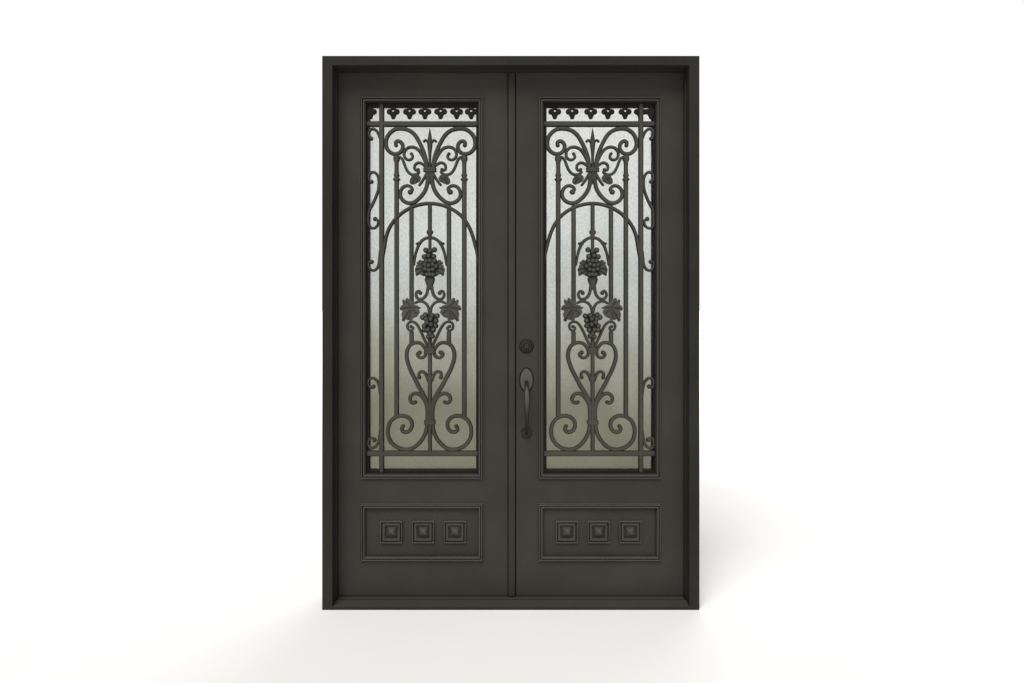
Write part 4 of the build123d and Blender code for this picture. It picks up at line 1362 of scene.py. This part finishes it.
    def scrolls(self) -> Shape:
        """The crown above the arch and the vine below it, with their collars and knobs.

        Returns:
            All of them.
        """
        shapes = []
        for scroll in SCROLLS:
            shapes += self.bent(scroll).pair(self.axis, scroll.stretch)
        for *spot, radius in BUDS_PX:
            middle = self.place([spot], (SCROLL_FRONT + SCROLL_BACK) / 2)[0]
            shapes += ball(middle, (radius * self.pixel, LUMP_DEEP, radius * self.pixel)).pair(self.axis)
        shapes += [self.straight(*stem, STEM_FRONT) for stem in STEMS_PX]
        shapes.append(self.straight(*POST_PX, POST_FRONT))
        return Shape.joined(shapes + [self.upright(turning) for turning in TURNINGS])

    def relief(self, flat: np.ndarray, depth: np.ndarray, back: float, closed: bool = False) -> Shape:
        """Rings of pixels at their depths, with a flat back behind the outermost and the innermost ring.

        Args:
            flat: Pixels as an array of ring, ray and axis, from the inside out.
            depth: Their depths.
            back: Depth of the back.
            closed: Whether there is a hole inside the innermost ring.

        Returns:
            The casting.
        """
        front = self.place(flat.reshape(-1, 2), np.ravel(depth)).reshape(*flat.shape[:2], 3)
        rear = front[[-1, 0]].copy()
        rear[..., 1] = self.face + back
        return skin(np.concatenate([front, rear]), closed)

    def cast_leaf(self, leaf: CastLeaf) -> Shape:
        """A cast leaf: its outline drawn in from its rim to its middle, domed, with a groove to each vein.

        The place at share t and angle a is the middle plus t times the outline's radius at a. The face
        rises by the dome times the root of 1 - t squared, less a bell curve of the distance from the
        nearest vein. The radius and the rim's rise follow a cosine of the angle, which makes teeth with a
        rib to each.

        Args:
            leaf: The leaf.

        Returns:
            The casting.
        """
        spots = np.asarray(leaf.line, float)
        middle = spots.mean(axis=0)
        offset = spots - middle
        angle = np.arctan2(offset[:, 1], offset[:, 0])
        order = np.argsort(angle)
        turn = np.linspace(-np.pi, np.pi, LEAF_RAYS, endpoint=False)
        radius = np.interp(turn, angle[order], np.hypot(*offset.T)[order], period=2 * np.pi)
        wave = 0.5 - 0.5 * np.cos(LEAF_TEETH * turn)
        radius = radius * (1 - leaf.teeth * wave)
        share = np.array(LEAF_SHARES)[:, None]
        flat = middle + (share * radius)[..., None] * np.stack([np.cos(turn), np.sin(turn)], axis=-1)
        root, tips = (np.asarray(end, float) for end in leaf.veins)
        run = tips - root
        along = np.clip(((flat[..., None, :] - root) * run).sum(-1) / (run * run).sum(-1), 0, 1)
        apart = np.linalg.norm(flat[..., None, :] - root - along[..., None] * run, axis=-1).min(axis=-1)
        groove = np.exp(-((apart / VEIN_WIDE_PX) ** 2))
        ripple = 0.5 - 0.5 * np.cos(np.minimum(apart, VEIN_APART_PX) * (np.pi / VEIN_APART_PX))
        dome = LEAF_DOME * (LEAF_RIM + (1 - LEAF_RIM) * np.sqrt(1 - LEAF_FULL * share**2))
        rise = dome * (LEAF_HOLLOW + (1 - LEAF_HOLLOW) * ripple) - VEIN_DEEP * groove
        rise = rise - TOOTH_DROP * leaf.teeth * share**2 * wave
        return self.relief(flat, CASTING_EDGE - rise, CASTING_BACK)

    def grapes(self) -> Shape:
        """Both bunches, whose grapes stand further out near the middle, and the upper one's two leaves.

        Returns:
            All of them.
        """
        shapes = []
        radius = GRAPE_RADIUS_PX * self.pixel
        for bunch in BUNCHES:
            apart = np.hypot(*((np.array(bunch.spots) - bunch.middle) * (1, BUNCH_SQUASH)).T)
            depth = GRAPE_MIDDLE - GRAPE_SWELL * (1 - np.minimum(1.0, apart / bunch.reach))
            spots = self.place(np.array(bunch.spots) + (GRAPE_SHIFT_PX, 0), depth)
            shapes += [ball(spot, (radius, GRAPE_DEEP, radius)) for spot in spots]
        for *spot, wide, tall in BUNCH_CORES_PX:
            middle = self.place([spot], CORE_MIDDLE)[0]
            shapes.append(ball(middle, (wide * self.pixel, LUMP_DEEP, tall * self.pixel)))
        return Shape.joined(shapes + self.cast_leaf(GRAPE_LEAF).pair(self.axis))

    def leaves(self) -> Shape:
        """The vine leaves on the inner bars and the small ones on the crown's tendrils.

        Returns:
            All of them.
        """
        pairs = [self.cast_leaf(leaf).pair(self.axis, leaf.stretch) for leaf in VINE_LEAVES]
        return Shape.joined(sum(pairs, []))

    def flower(self, column: float) -> Shape:
        """A cast flower with a hole: rings from the hole to the rim, raised at the heart and the petals.

        The rim at angle a is the farthest that a ray reaches in any petal's disc, and the part of it beyond
        the window's edges is cut back to them. A flower cut at the hinges has no hole.

        Args:
            column: Its pixel column.

        Returns:
            The flower.
        """
        ray = circle(FLOWER_RAYS)
        petals = np.asarray(PETALS_PX)
        toward = ray @ petals[:, :2].T
        inside = petals[:, 2] ** 2 - (petals[:, :2] ** 2).sum(axis=1) + toward**2
        reach = np.where(inside > 0, toward + np.sqrt(np.maximum(inside, 0)), 0).max(axis=1)
        rim = np.maximum(reach, FLOWER_HEART_PX)
        share = np.array(FLOWER_SHARES)[:, None]
        hole = FLOWER_HOLE_PX if column - HINGE_EDGE_PX > CUT_FLOWER_PX else CLOSED_HOLE_PX
        radius = hole + share * (rim - hole)
        flat = np.array([column, FLOWER_ROW_PX]) + radius[..., None] * ray
        near, far = HINGE_EDGE_PX + CASTING_CLEAR_PX, LOCK_EDGE_PX - CASTING_CLEAR_PX
        flat[..., 0] = np.clip(flat[..., 0], near - self.shift, far - self.shift)
        flat[..., 1] = np.maximum(flat[..., 1], TOP_EDGE_PX + CASTING_CLEAR_PX)
        ring = np.exp(-(((radius - RING_PX) / RING_WIDE_PX) ** 2))
        rise = PETAL_RISE * np.sqrt(1 - share**4) + RING_RISE * ring
        return self.relief(flat, CRESTING_FRONT + PETAL_RISE - rise, CRESTING_BACK, closed=True)

    def cresting(self) -> Shape:
        """The strip along the top of the window with its row of flowers."""
        corners = self.across(TOP_EDGE_PX, FLOWER_STRIP_PX, STRIP_FRONT, CRESTING_BACK)
        return Shape.joined([soft_box(*corners, STRIP_ROUND), *map(self.flower, self.flowers)])

    def dress(self) -> None:
        """Makes the grille's pieces."""
        made = (
            ("grille_bars", self.bars(), IRON, Slot.GRILLE),
            ("grille_scrolls", self.scrolls(), IRON, Slot.GRILLE),
            ("grapes", self.grapes(), CASTING, Slot.CASTING),
            ("vine_leaves", self.leaves(), CASTING, Slot.CASTING),
            ("flower_cresting", self.cresting(), SHADED_CASTING, Slot.CASTING),
        )
        for node, shape, finish, slot in made:
            name = self.side.node(node)
            piece(f"wrought_{name}", self.side.facing(shape), finish, self.side.body, slot, name)


@dataclass
class LeafDressing:
    """Mouldings, kick panel, glass and seals of one leaf.

    Attributes:
        side: The leaf.
        drift: How far the lining's rebate stands towards the lock.
        ring: Width of the mouldings.
        boss: Half the side of a boss.
        pitch: Spacing of the bosses.
        shift: How far the bosses stand towards the lock.
        recess: How far the kick panel lies behind the leaf's faces.
        reveal: Depth at which the lining of the window starts.
        step: Depth of its step behind the grille.
        liner: Thickness of the lining in front of the step.
        rebate: How far it stands into the window at the step.
        taper: Share of the rebate that is left at the glass.
        sunk: How far lining and bead reach into the leaf.
        slack: Room between them and the glass.
        bead: Width of the bead behind the glass.
        chamfer: Chamfer of that bead.
        brush: Thickness of the brush under the leaf.
        brush_inset: How far its ends stay back, and how far it reaches into the leaf.
        brush_clear: Its room above the threshold.
        brush_round: Radius of its edges.
    """

    side: Side
    drift: float = 0.0
    ring: float = 0.024
    boss: float = 0.050
    pitch: float = 0.144
    shift: float = 0.005
    recess: float = 0.006
    reveal: float = 0.003
    step: float = 0.014
    liner: float = 0.0008
    rebate: float = 0.0106
    taper: float = 0.6
    sunk: float = 0.0005
    slack: float = 0.0002
    bead: float = 0.007
    chamfer: float = 0.002
    brush: float = 0.016
    brush_inset: float = 0.002
    brush_clear: float = 0.0004
    brush_round: float = 0.001

    def __post_init__(self) -> None:
        """Takes the leaf's faces, its window and its kick panel from the left leaf."""
        low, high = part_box("left_hinge_stile")
        self.front, self.back, self.bottom = low[1], high[1], low[2]
        self.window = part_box("left_glass")
        self.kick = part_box("left_kick_panel")
        self.bead_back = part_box("left_glass_beads")[1][1]

    def mouldings(self) -> Shape:
        """The beaded rings round the window and the kick panel, outside and inside.

        From outside in, their section has a low lip, a high ridge and a lower one, with grooves between.

        Returns:
            The four rings.
        """
        shapes = []
        for low, high in (self.window, self.kick):
            corner = (low[0] - self.ring, low[2] - self.ring)
            other = (high[0] + self.ring, high[2] + self.ring)
            for face, way in ((self.front, -1), (self.back, 1)):
                shapes.append(framed(corner, other, standing(BEADING_MM, face, way)))
        return Shape.joined(shapes)

    def lining(self) -> Shape:
        """The lining of the window's reveal with its rebate for the glass, and the bead behind it, both in
        the darker shaded paint that paints the reveal's shade.

        Returns:
            Both rings.
        """
        low, high = self.window
        edge, step, seat = self.front + self.reveal, self.front + self.step, low[1] - self.slack
        rows = np.array([
            (-self.sunk, edge), (self.liner, edge), (self.liner, step), (self.rebate, step),
            (self.taper * self.rebate, seat), (-self.sunk, seat),
        ])
        start, end = high[1] + self.slack, self.bead_back
        bead = np.array([
            (-self.sunk, start), (self.bead, start), (self.bead, end - self.chamfer),
            (self.bead - self.chamfer, end), (-self.sunk, end),
        ])
        corners = (low[0], low[2]), (high[0], high[2])
        aside = np.where(rows[:, 0] > self.liner, self.drift, 0)
        return Shape.joined([framed(*corners, rows, aside), framed(*corners, bead)])

    def panel(self) -> Shape:
        """The kick panel with three square bosses on each face: rim, ridge and low pyramid.

        Returns:
            The panel.
        """
        low, high = np.array(self.kick[0]), np.array(self.kick[1])
        low[1], high[1] = self.front + self.recess, self.back - self.recess
        shapes = [soft_box(low, high, PANEL_ROUND)]
        middle = (low + high) / 2
        for index in (-1, 0, 1):
            spot = (middle[0] + self.shift + index * self.pitch, middle[2])
            for face, way in ((low[1], -1), (high[1], 1)):
                shapes.append(stepped(spot, self.boss, standing(BOSS_MM, face, way)))
        return Shape.joined(shapes)

    def sweep_seal(self) -> Shape:
        """The brush under the leaf that closes its gap to the threshold.

        Returns:
            The brush.
        """
        stiles = [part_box(self.side.node(node)) for node in ("hinge_stile", "lock_stile")]
        x = [corner[0] for box in stiles for corner in box]
        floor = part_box("threshold")[1][2] + self.brush_clear
        middle, half = (self.front + self.back) / 2, self.brush / 2
        low = (min(x) + self.brush_inset, middle - half, floor)
        high = (max(x) - self.brush_inset, middle + half, self.bottom + self.brush_inset)
        return soft_box(low, high, self.brush_round)

    def dress(self) -> None:
        """Makes the pieces and gives the CAD nodes that stay their finish."""
        made = (
            ("mouldings", self.mouldings(), MOULDED_PAINT),
            ("kick_panel", self.panel(), MOULDED_PAINT),
            ("glass_beads", self.lining(), SHADED_PAINT),
        )
        for node, shape, finish in made:
            name = self.side.node(node)
            piece(f"painted_{name}", self.side.facing(shape), finish, self.side.body, Slot.LEAF, name)
        piece(self.side.node("sweep_seal"), self.sweep_seal(), RUBBER, self.side.body, None)
        kept = {
            PAINT: ("hinge_stile", "lock_stile", "top_rail", "middle_rail", "bottom_rail"),
            GLASS: ("glass",),
            STEEL: ("hinge_barrels", "hinge_pins"),
        }
        for finish, names in kept.items():
            for name in names:
                coat(self.side.node(name), finish)


@dataclass
class FrameStops:
    """A thin stop round the frame's reveal, just in front of the leaves.

    Attributes:
        stand: How far it stands out of the reveal.
        deep: How far it runs along the reveal.
        clear: Its room in front of the leaves.
        sunk: How far it reaches into the frame.
        edge: Radius of its edges.
    """

    stand: float = 0.005
    deep: float = 0.022
    clear: float = 0.0055
    sunk: float = 0.001
    edge: float = 0.0006

    def dress(self) -> None:
        """Gives the frame its finish and makes the stop as three strips."""
        for node in ("left_jamb", "right_jamb", "head", "threshold"):
            coat(node, FRAME_PAINT)
        near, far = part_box("left_jamb")[1][0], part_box("right_jamb")[0][0]
        top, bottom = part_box("head")[0][2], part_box("threshold")[1][2]
        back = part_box("left_hinge_stile")[0][1] - self.clear
        front = back - self.deep
        spans = (
            (near - self.sunk, bottom, near + self.stand, top),
            (far - self.stand, bottom, far + self.sunk, top),
            (near, top - self.stand, far, top + self.sunk),
        )
        strips = [soft_box((x, front, z), (end, back, high), self.edge) for x, z, end, high in spans]
        piece("reveal_stop", Shape.joined(strips), FRAME_PAINT, "frame", None)


@dataclass
class MeetingLine:
    """The astragal on the left leaf with its edge strip, and the pile on the right leaf behind it.

    Attributes:
        lip: Width of the lip at the astragal's free edge.
        lip_sunk: How far the lip reaches into the leaf.
        lip_round: Radius of the lip's edges.
        groove: Width of the groove beside the lip.
        bar_sunk: How far the astragal reaches into the leaf.
        bar_round: Radius of the astragal's edges.
        reach: How far the edge strip reaches over the gap.
        strip_lap: How far it lies under the astragal.
        strip_proud: How far it stands out in front of it.
        strip_sunk: How far it reaches behind it.
        strip_round: Radius of the strip's edges.
        pile: How far the pile stands out of the right leaf.
        pile_sunk: How far it reaches into it.
        pile_depths: Where it starts and ends behind the leaf's outer face.
        pile_round: Radius of its edges.
    """

    lip: float = 0.0008
    lip_sunk: float = 0.001
    lip_round: float = 0.0003
    groove: float = 0.0036
    bar_sunk: float = 0.002
    bar_round: float = 0.0022
    reach: float = 0.003
    strip_lap: float = 0.004
    strip_proud: float = 0.0003
    strip_sunk: float = 0.0015
    strip_round: float = 0.0012
    pile: float = 0.0064
    pile_sunk: float = 0.002
    pile_depths: tuple = (0.004, 0.02)
    pile_round: float = 0.001

    def dress(self) -> None:
        """Makes the astragal, its edge strip and the pile."""
        low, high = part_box("astragal")
        start = (low[0] + self.lip + self.groove, low[1], low[2])
        lip = soft_box(low, (low[0] + self.lip, high[1] + self.lip_sunk, high[2]), self.lip_round)
        bar = soft_box(start, (high[0], high[1] + self.bar_sunk, high[2]), self.bar_round)
        both = Shape.joined([lip, bar])
        piece("rounded_astragal", both, EDGED_PAINT, Side.LEFT.body, Slot.LEAF, "astragal")
        near = (high[0] - self.strip_lap, low[1] - self.strip_proud, low[2])
        far = (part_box("left_lock_stile")[1][0] + self.reach, high[1] + self.strip_sunk, high[2])
        piece("meeting_strip", soft_box(near, far, self.strip_round), EDGED_PAINT, Side.LEFT.body, None)
        (edge, face, bottom), (_, _, top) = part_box("right_lock_stile")
        near = (edge - self.pile, face + self.pile_depths[0], bottom)
        far = (edge + self.pile_sunk, face + self.pile_depths[1], top)
        piece("meeting_pile", soft_box(near, far, self.pile_round), RUBBER, Side.RIGHT.body, None)


@dataclass
class Lockset:
    """Deadbolt, pull handle and the inside lever and turn piece of the right leaf.

    Attributes:
        rose: Radius of the roses, and half the width of the oval plate.
        tall: Half the height of the oval plate.
        base: Radius of the pull's round foot.
        key: Half the width, half the height, depth and edge radius of the keyway.
        key_proud: How far the keyway's insert stands out of the leaf.
        grip_reach: How far the pull bows out from its seat.
        grip_seat: Height of its seat in the plates.
        grip_power: How square its section is.
        lever_stand: How far the lever's middle stands from the leaf.
        lever_power: How square its section is.
        handle_sides: Points in the sections of the pull and the lever.
        wing: Half the height of the turn piece.
        wing_end: Half the height at which its rounded ends would close.
        wing_thick: Its thickness in the middle, and what its ends add.
        wing_deep: Its depth.
        wing_stand: How far its middle stands from the leaf.
        wing_power: How square its section is.
        wing_sides: Points in its section.
        wing_rows: How many rings it has.
    """

    rose: float = 0.031
    tall: float = 0.0535
    base: float = 0.0235
    key: tuple = (0.0012, 0.0062, 0.002, 0.0004)
    key_proud: float = 0.0151
    grip_reach: float = 0.0625
    grip_seat: float = 0.005
    grip_power: float = 2.3
    lever_stand: float = 0.0465
    lever_power: float = 2.6
    handle_sides: int = 22
    wing: float = 0.021
    wing_end: float = 0.0216
    wing_thick: tuple = (0.0056, 0.0034)
    wing_deep: float = 0.0195
    wing_stand: float = 0.0172
    wing_power: float = 3
    wing_sides: int = 20
    wing_rows: int = 23

    def __post_init__(self) -> None:
        """Takes the faces of the leaf and the places of the pieces from the CAD nodes."""
        self.face, self.back = (corner[1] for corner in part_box("right_lock_stile"))
        low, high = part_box("deadbolt")
        self.x = (low[0] + high[0]) / 2
        self.bolt = (low[2] + high[2]) / 2
        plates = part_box("handle_plates")
        self.top, self.foot = plates[1][2] - self.tall, plates[0][2] + self.base

    def outside(self, table: tuple, height: float, tall: float = 1.0) -> Shape:
        """A section turned about an axis at a height and standing out of the leaf's outer face."""
        return turned((self.x, height), standing(table, self.face, -1), (1, tall))

    def inside(self, table: tuple, height: float) -> Shape:
        """A section turned about an axis at a height and standing out of the leaf's inner face."""
        return turned((self.x, height), standing(table, self.back, 1))

    def keyway(self) -> Shape:
        """The upright slot of the key cylinder, as a thin black insert that paints the slot's shade.

        Returns:
            The insert.
        """
        half, tall, deep, edge = self.key
        y = self.face - self.key_proud
        low, high = (self.x - half, y, self.bolt - tall), (self.x + half, y + deep, self.bolt + tall)
        return soft_box(low, high, edge)

    def plates(self) -> Shape:
        """The oval plate with a raised rim and the domed foot."""
        oval = self.outside(OVAL_MM, self.top, self.tall / self.rose)
        return Shape.joined([oval, self.outside(FOOT_MM, self.foot)])

    def shadow_rings(self) -> Shape:
        """Thin black rings of painted shade that show as a line round the rose, the plate and the foot.

        Returns:
            The three rings.
        """
        shapes = []
        stretch = self.tall / self.rose
        for height, radius, tall in (
            (self.bolt, self.rose, 1), (self.top, self.rose, stretch), (self.foot, self.base, 1),
        ):
            shapes.append(self.outside(np.array(SHADOW_RING_ROWS) * (radius / MM, 1), height, tall))
        return Shape.joined(shapes)

    def grip(self) -> Shape:
        """The bowed pull: an oval section along a bowed line, wide at the shoulder and thin at the foot.

        Returns:
            The pull.
        """
        out, down = np.array(GRIP_SHARES).T
        y = self.face - self.grip_seat - self.grip_reach * out
        z = self.top + (self.foot - self.top) * down
        flat = smooth_path(np.stack([y, z], axis=-1), PATH_STEP)
        path = np.insert(flat, 0, self.x, axis=1)
        share = np.linspace(0, 1, len(flat))
        wide, thick = (np.interp(share, *zip(*table)) for table in (GRIP_WIDE, GRIP_THICK))
        return sweep(path, ACROSS_LEAF, thick, wide, self.grip_power, self.handle_sides)

    def lever(self) -> Shape:
        """The inside rose, neck and gently bowed lever.

        Returns:
            All of it.
        """
        line = smooth_path(np.array(LEVER_LINE) + (self.x, self.top), PATH_STEP)
        path = np.insert(line, 1, self.back + self.lever_stand, axis=1)
        share = np.linspace(0, 1, len(line))
        tall, deep = (np.interp(share, *zip(*table)) for table in (LEVER_TALL, LEVER_DEEP))
        handle = sweep(path, THROUGH_LEAF, tall, deep, self.lever_power, self.handle_sides)
        return Shape.joined([self.inside(LEVER_ROSE_MM, self.top), handle])

    def turn(self) -> Shape:
        """The inside rose of the deadbolt and its winged turn piece, thicker towards its rounded ends.

        Returns:
            Both.
        """
        z = np.linspace(-self.wing, self.wing, self.wing_rows)
        x, y = np.full(len(z), self.x), np.full(len(z), self.back + self.wing_stand)
        end = np.sqrt(np.maximum(1 - (z / self.wing_end) ** 6, 0))
        wide = (self.wing_thick[0] + self.wing_thick[1] * (z / self.wing) ** 2) * end
        path = np.stack([x, y, self.bolt + z], axis=-1)
        wing = sweep(path, THROUGH_LEAF, wide, self.wing_deep * end, self.wing_power, self.wing_sides)
        return Shape.joined([self.inside(TURN_ROSE_MM, self.bolt), wing])

    def dress(self) -> None:
        """Makes the lockset's pieces."""
        body = Side.RIGHT.body
        made = (
            ("deadbolt", self.outside(ROSE_MM, self.bolt), DARK_BRONZE),
            ("handle_plates", self.plates(), BRONZE), ("handle_grip", self.grip(), BRONZE),
            ("inside_lever", self.lever(), BRONZE), ("deadbolt_turn", self.turn(), BRONZE),
        )
        for node, shape, finish in made:
            piece(f"bronze_{node}", shape, finish, body, Slot.HARDWARE, node)
        # Painted shade: the keyway's black insert.
        piece("keyway", self.keyway(), RUBBER, body, None)
        # Painted shade: black rings round the rose, the plate and the foot.
        piece("shadow_rings", self.shadow_rings(), RUBBER, body, None)


@dataclass
class Studio:
    """A pale floor, soft light and a camera at the photo's angle.

    Attributes:
        centre_px: Where the middle of the pair stands in the photo.
        horizon_px: The camera's height in the photo.
        size_px: The photo's size.
        scale: Metres a pixel at the frame's outer face.
        eye: The camera's height.
        away: Its distance from the frame's outer face.
        sensor: Width of its sensor in millimetres.
        ambient: Strength of the even light from all round.
        floor_half: Half the floor's side.
        floor_tones: The floor's two tones.
        floor_noise: Cells a metre and layers of its clouds.
        floor_rough: Its roughness.
        fade: Distances over which the floor fades to white for the camera.
        lamps: Name, way of the light, spread in radians and strength of each lamp.
    """

    centre_px: float = 510.8
    horizon_px: float = 300.0
    size_px: tuple = (1024, 683)
    scale: float = 0.0044
    eye: float = 1.364
    away: float = 2.25
    sensor: float = 36.0
    ambient: float = 0.3
    floor_half: float = 60.0
    floor_tones: tuple = ((0.8, 0.79, 0.77), (0.84, 0.83, 0.81))
    floor_noise: tuple = (0.7, 3.0)
    floor_rough: float = 0.85
    fade: tuple = (2.0, 7.0)
    lamps: tuple = (("key", (0.18, 0.46, -0.87), 0.6, 2.9), ("rear", (-0.3, -0.6, -0.74), 0.7, 0.7))

    def floor(self) -> None:
        """A wide pale floor under the threshold, which the camera sees fade to white far away."""
        mesh = bpy.data.meshes.new("floor")
        corners = np.pad(SQUARE * self.floor_half, ((0, 0), (0, 1)))
        mesh.from_pydata(corners.tolist(), [], [(0, 1, 2, 3)])
        nodes = Nodes("pale_floor")
        apart = nodes.add("ShaderNodeVectorMath", Vector=nodes.coords.outputs["Object"])
        apart.operation = "LENGTH"
        far = nodes.ranged(apart.outputs["Value"], self.fade)
        seen = nodes.add("ShaderNodeLightPath").outputs["Is Camera Ray"]
        clouds = nodes.ranged(nodes.noise(*self.floor_noise), NOISE_BAND)
        nodes.surface(
            Base_Color=nodes.mix(clouds, *(rgba(tone) for tone in self.floor_tones)),
            Roughness=self.floor_rough,
            Emission_Strength=nodes.sum("MULTIPLY", seen, far),
            Emission_Color=(1, 1, 1, 1),
        )
        mesh.materials.append(nodes.material)
        floor = bpy.data.objects.new("floor", mesh)
        bpy.context.scene.collection.objects.link(floor)

    def lamp(self, name: str, aim: tuple, spread: float, strength: float) -> None:
        """A soft lamp far away, as even over the whole pair as a large softbox.

        Args:
            name: Its name.
            aim: The way that its light travels.
            spread: How wide it looks from the pair, in radians.
            strength: Its light on a surface that faces it.
        """
        light = bpy.data.lights.new(name, "SUN")
        light.angle = spread
        light.energy = strength
        item = bpy.data.objects.new(name, light)
        item.rotation_euler = Vector(aim).to_track_quat("-Z", "Y").to_euler()
        bpy.context.scene.collection.objects.link(item)

    def world(self) -> None:
        """Even ambient light, with a white ground where camera, glass and gloss look past the object."""
        world = bpy.data.worlds.new("studio")
        bpy.context.scene.world = world
        world.use_nodes = True
        tree = world.node_tree
        path = tree.nodes.new("ShaderNodeLightPath")
        seen = path.outputs["Is Camera Ray"]
        for ray in ("Is Transmission Ray", "Is Glossy Ray"):
            either = tree.nodes.new("ShaderNodeMath")
            either.operation = "MAXIMUM"
            tree.links.new(seen, either.inputs[0])
            tree.links.new(path.outputs[ray], either.inputs[1])
            seen = either.outputs[0]
        level = tree.nodes.new("ShaderNodeMapRange")
        tree.links.new(seen, level.inputs["Value"])
        level.inputs["To Min"].default_value = self.ambient
        level.inputs["To Max"].default_value = 1.0
        back = tree.nodes["Background"]
        tree.links.new(level.outputs[0], back.inputs["Strength"])
        back.inputs["Color"].default_value = (1, 1, 1, 1)

    def camera(self) -> None:
        """The level camera, whose shift puts the pair's middle and the horizon where the photo has them."""
        data = bpy.data.cameras.new("camera")
        wide, tall = self.size_px
        data.sensor_width = self.sensor
        data.lens = data.sensor_width * self.away / (self.scale * wide)
        data.shift_x = (wide / 2 - self.centre_px) / wide
        data.shift_y = (self.horizon_px - tall / 2) / wide
        item = bpy.data.objects.new("camera", data)
        item.location = (0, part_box("left_jamb")[0][1] - self.away, self.eye)
        item.rotation_euler = (np.pi / 2, 0, 0)
        bpy.context.scene.collection.objects.link(item)
        bpy.context.scene.camera = item

    def dress(self) -> None:
        """Sets up floor, light and camera."""
        self.floor()
        for lamp in self.lamps:
            self.lamp(*lamp)
        self.world()
        self.camera()
        bpy.context.scene.view_settings.view_transform = "Standard"


def main() -> None:
    """Builds the dressings in order."""
    logging.basicConfig(level=logging.INFO, format="%(name)s: %(message)s")
    LeafDressing(Side.LEFT).dress()
    LeafDressing(Side.RIGHT, RIGHT_DRIFT).dress()
    Grille(Side.LEFT, LEFT_FLOWERS_PX).dress()
    Grille(Side.RIGHT, RIGHT_FLOWERS_PX, RIGHT_SHIFT_PX).dress()
    FrameStops().dress()
    MeetingLine().dress()
    Lockset().dress()
    Studio().dress()


if __name__ == "__main__":
    main()
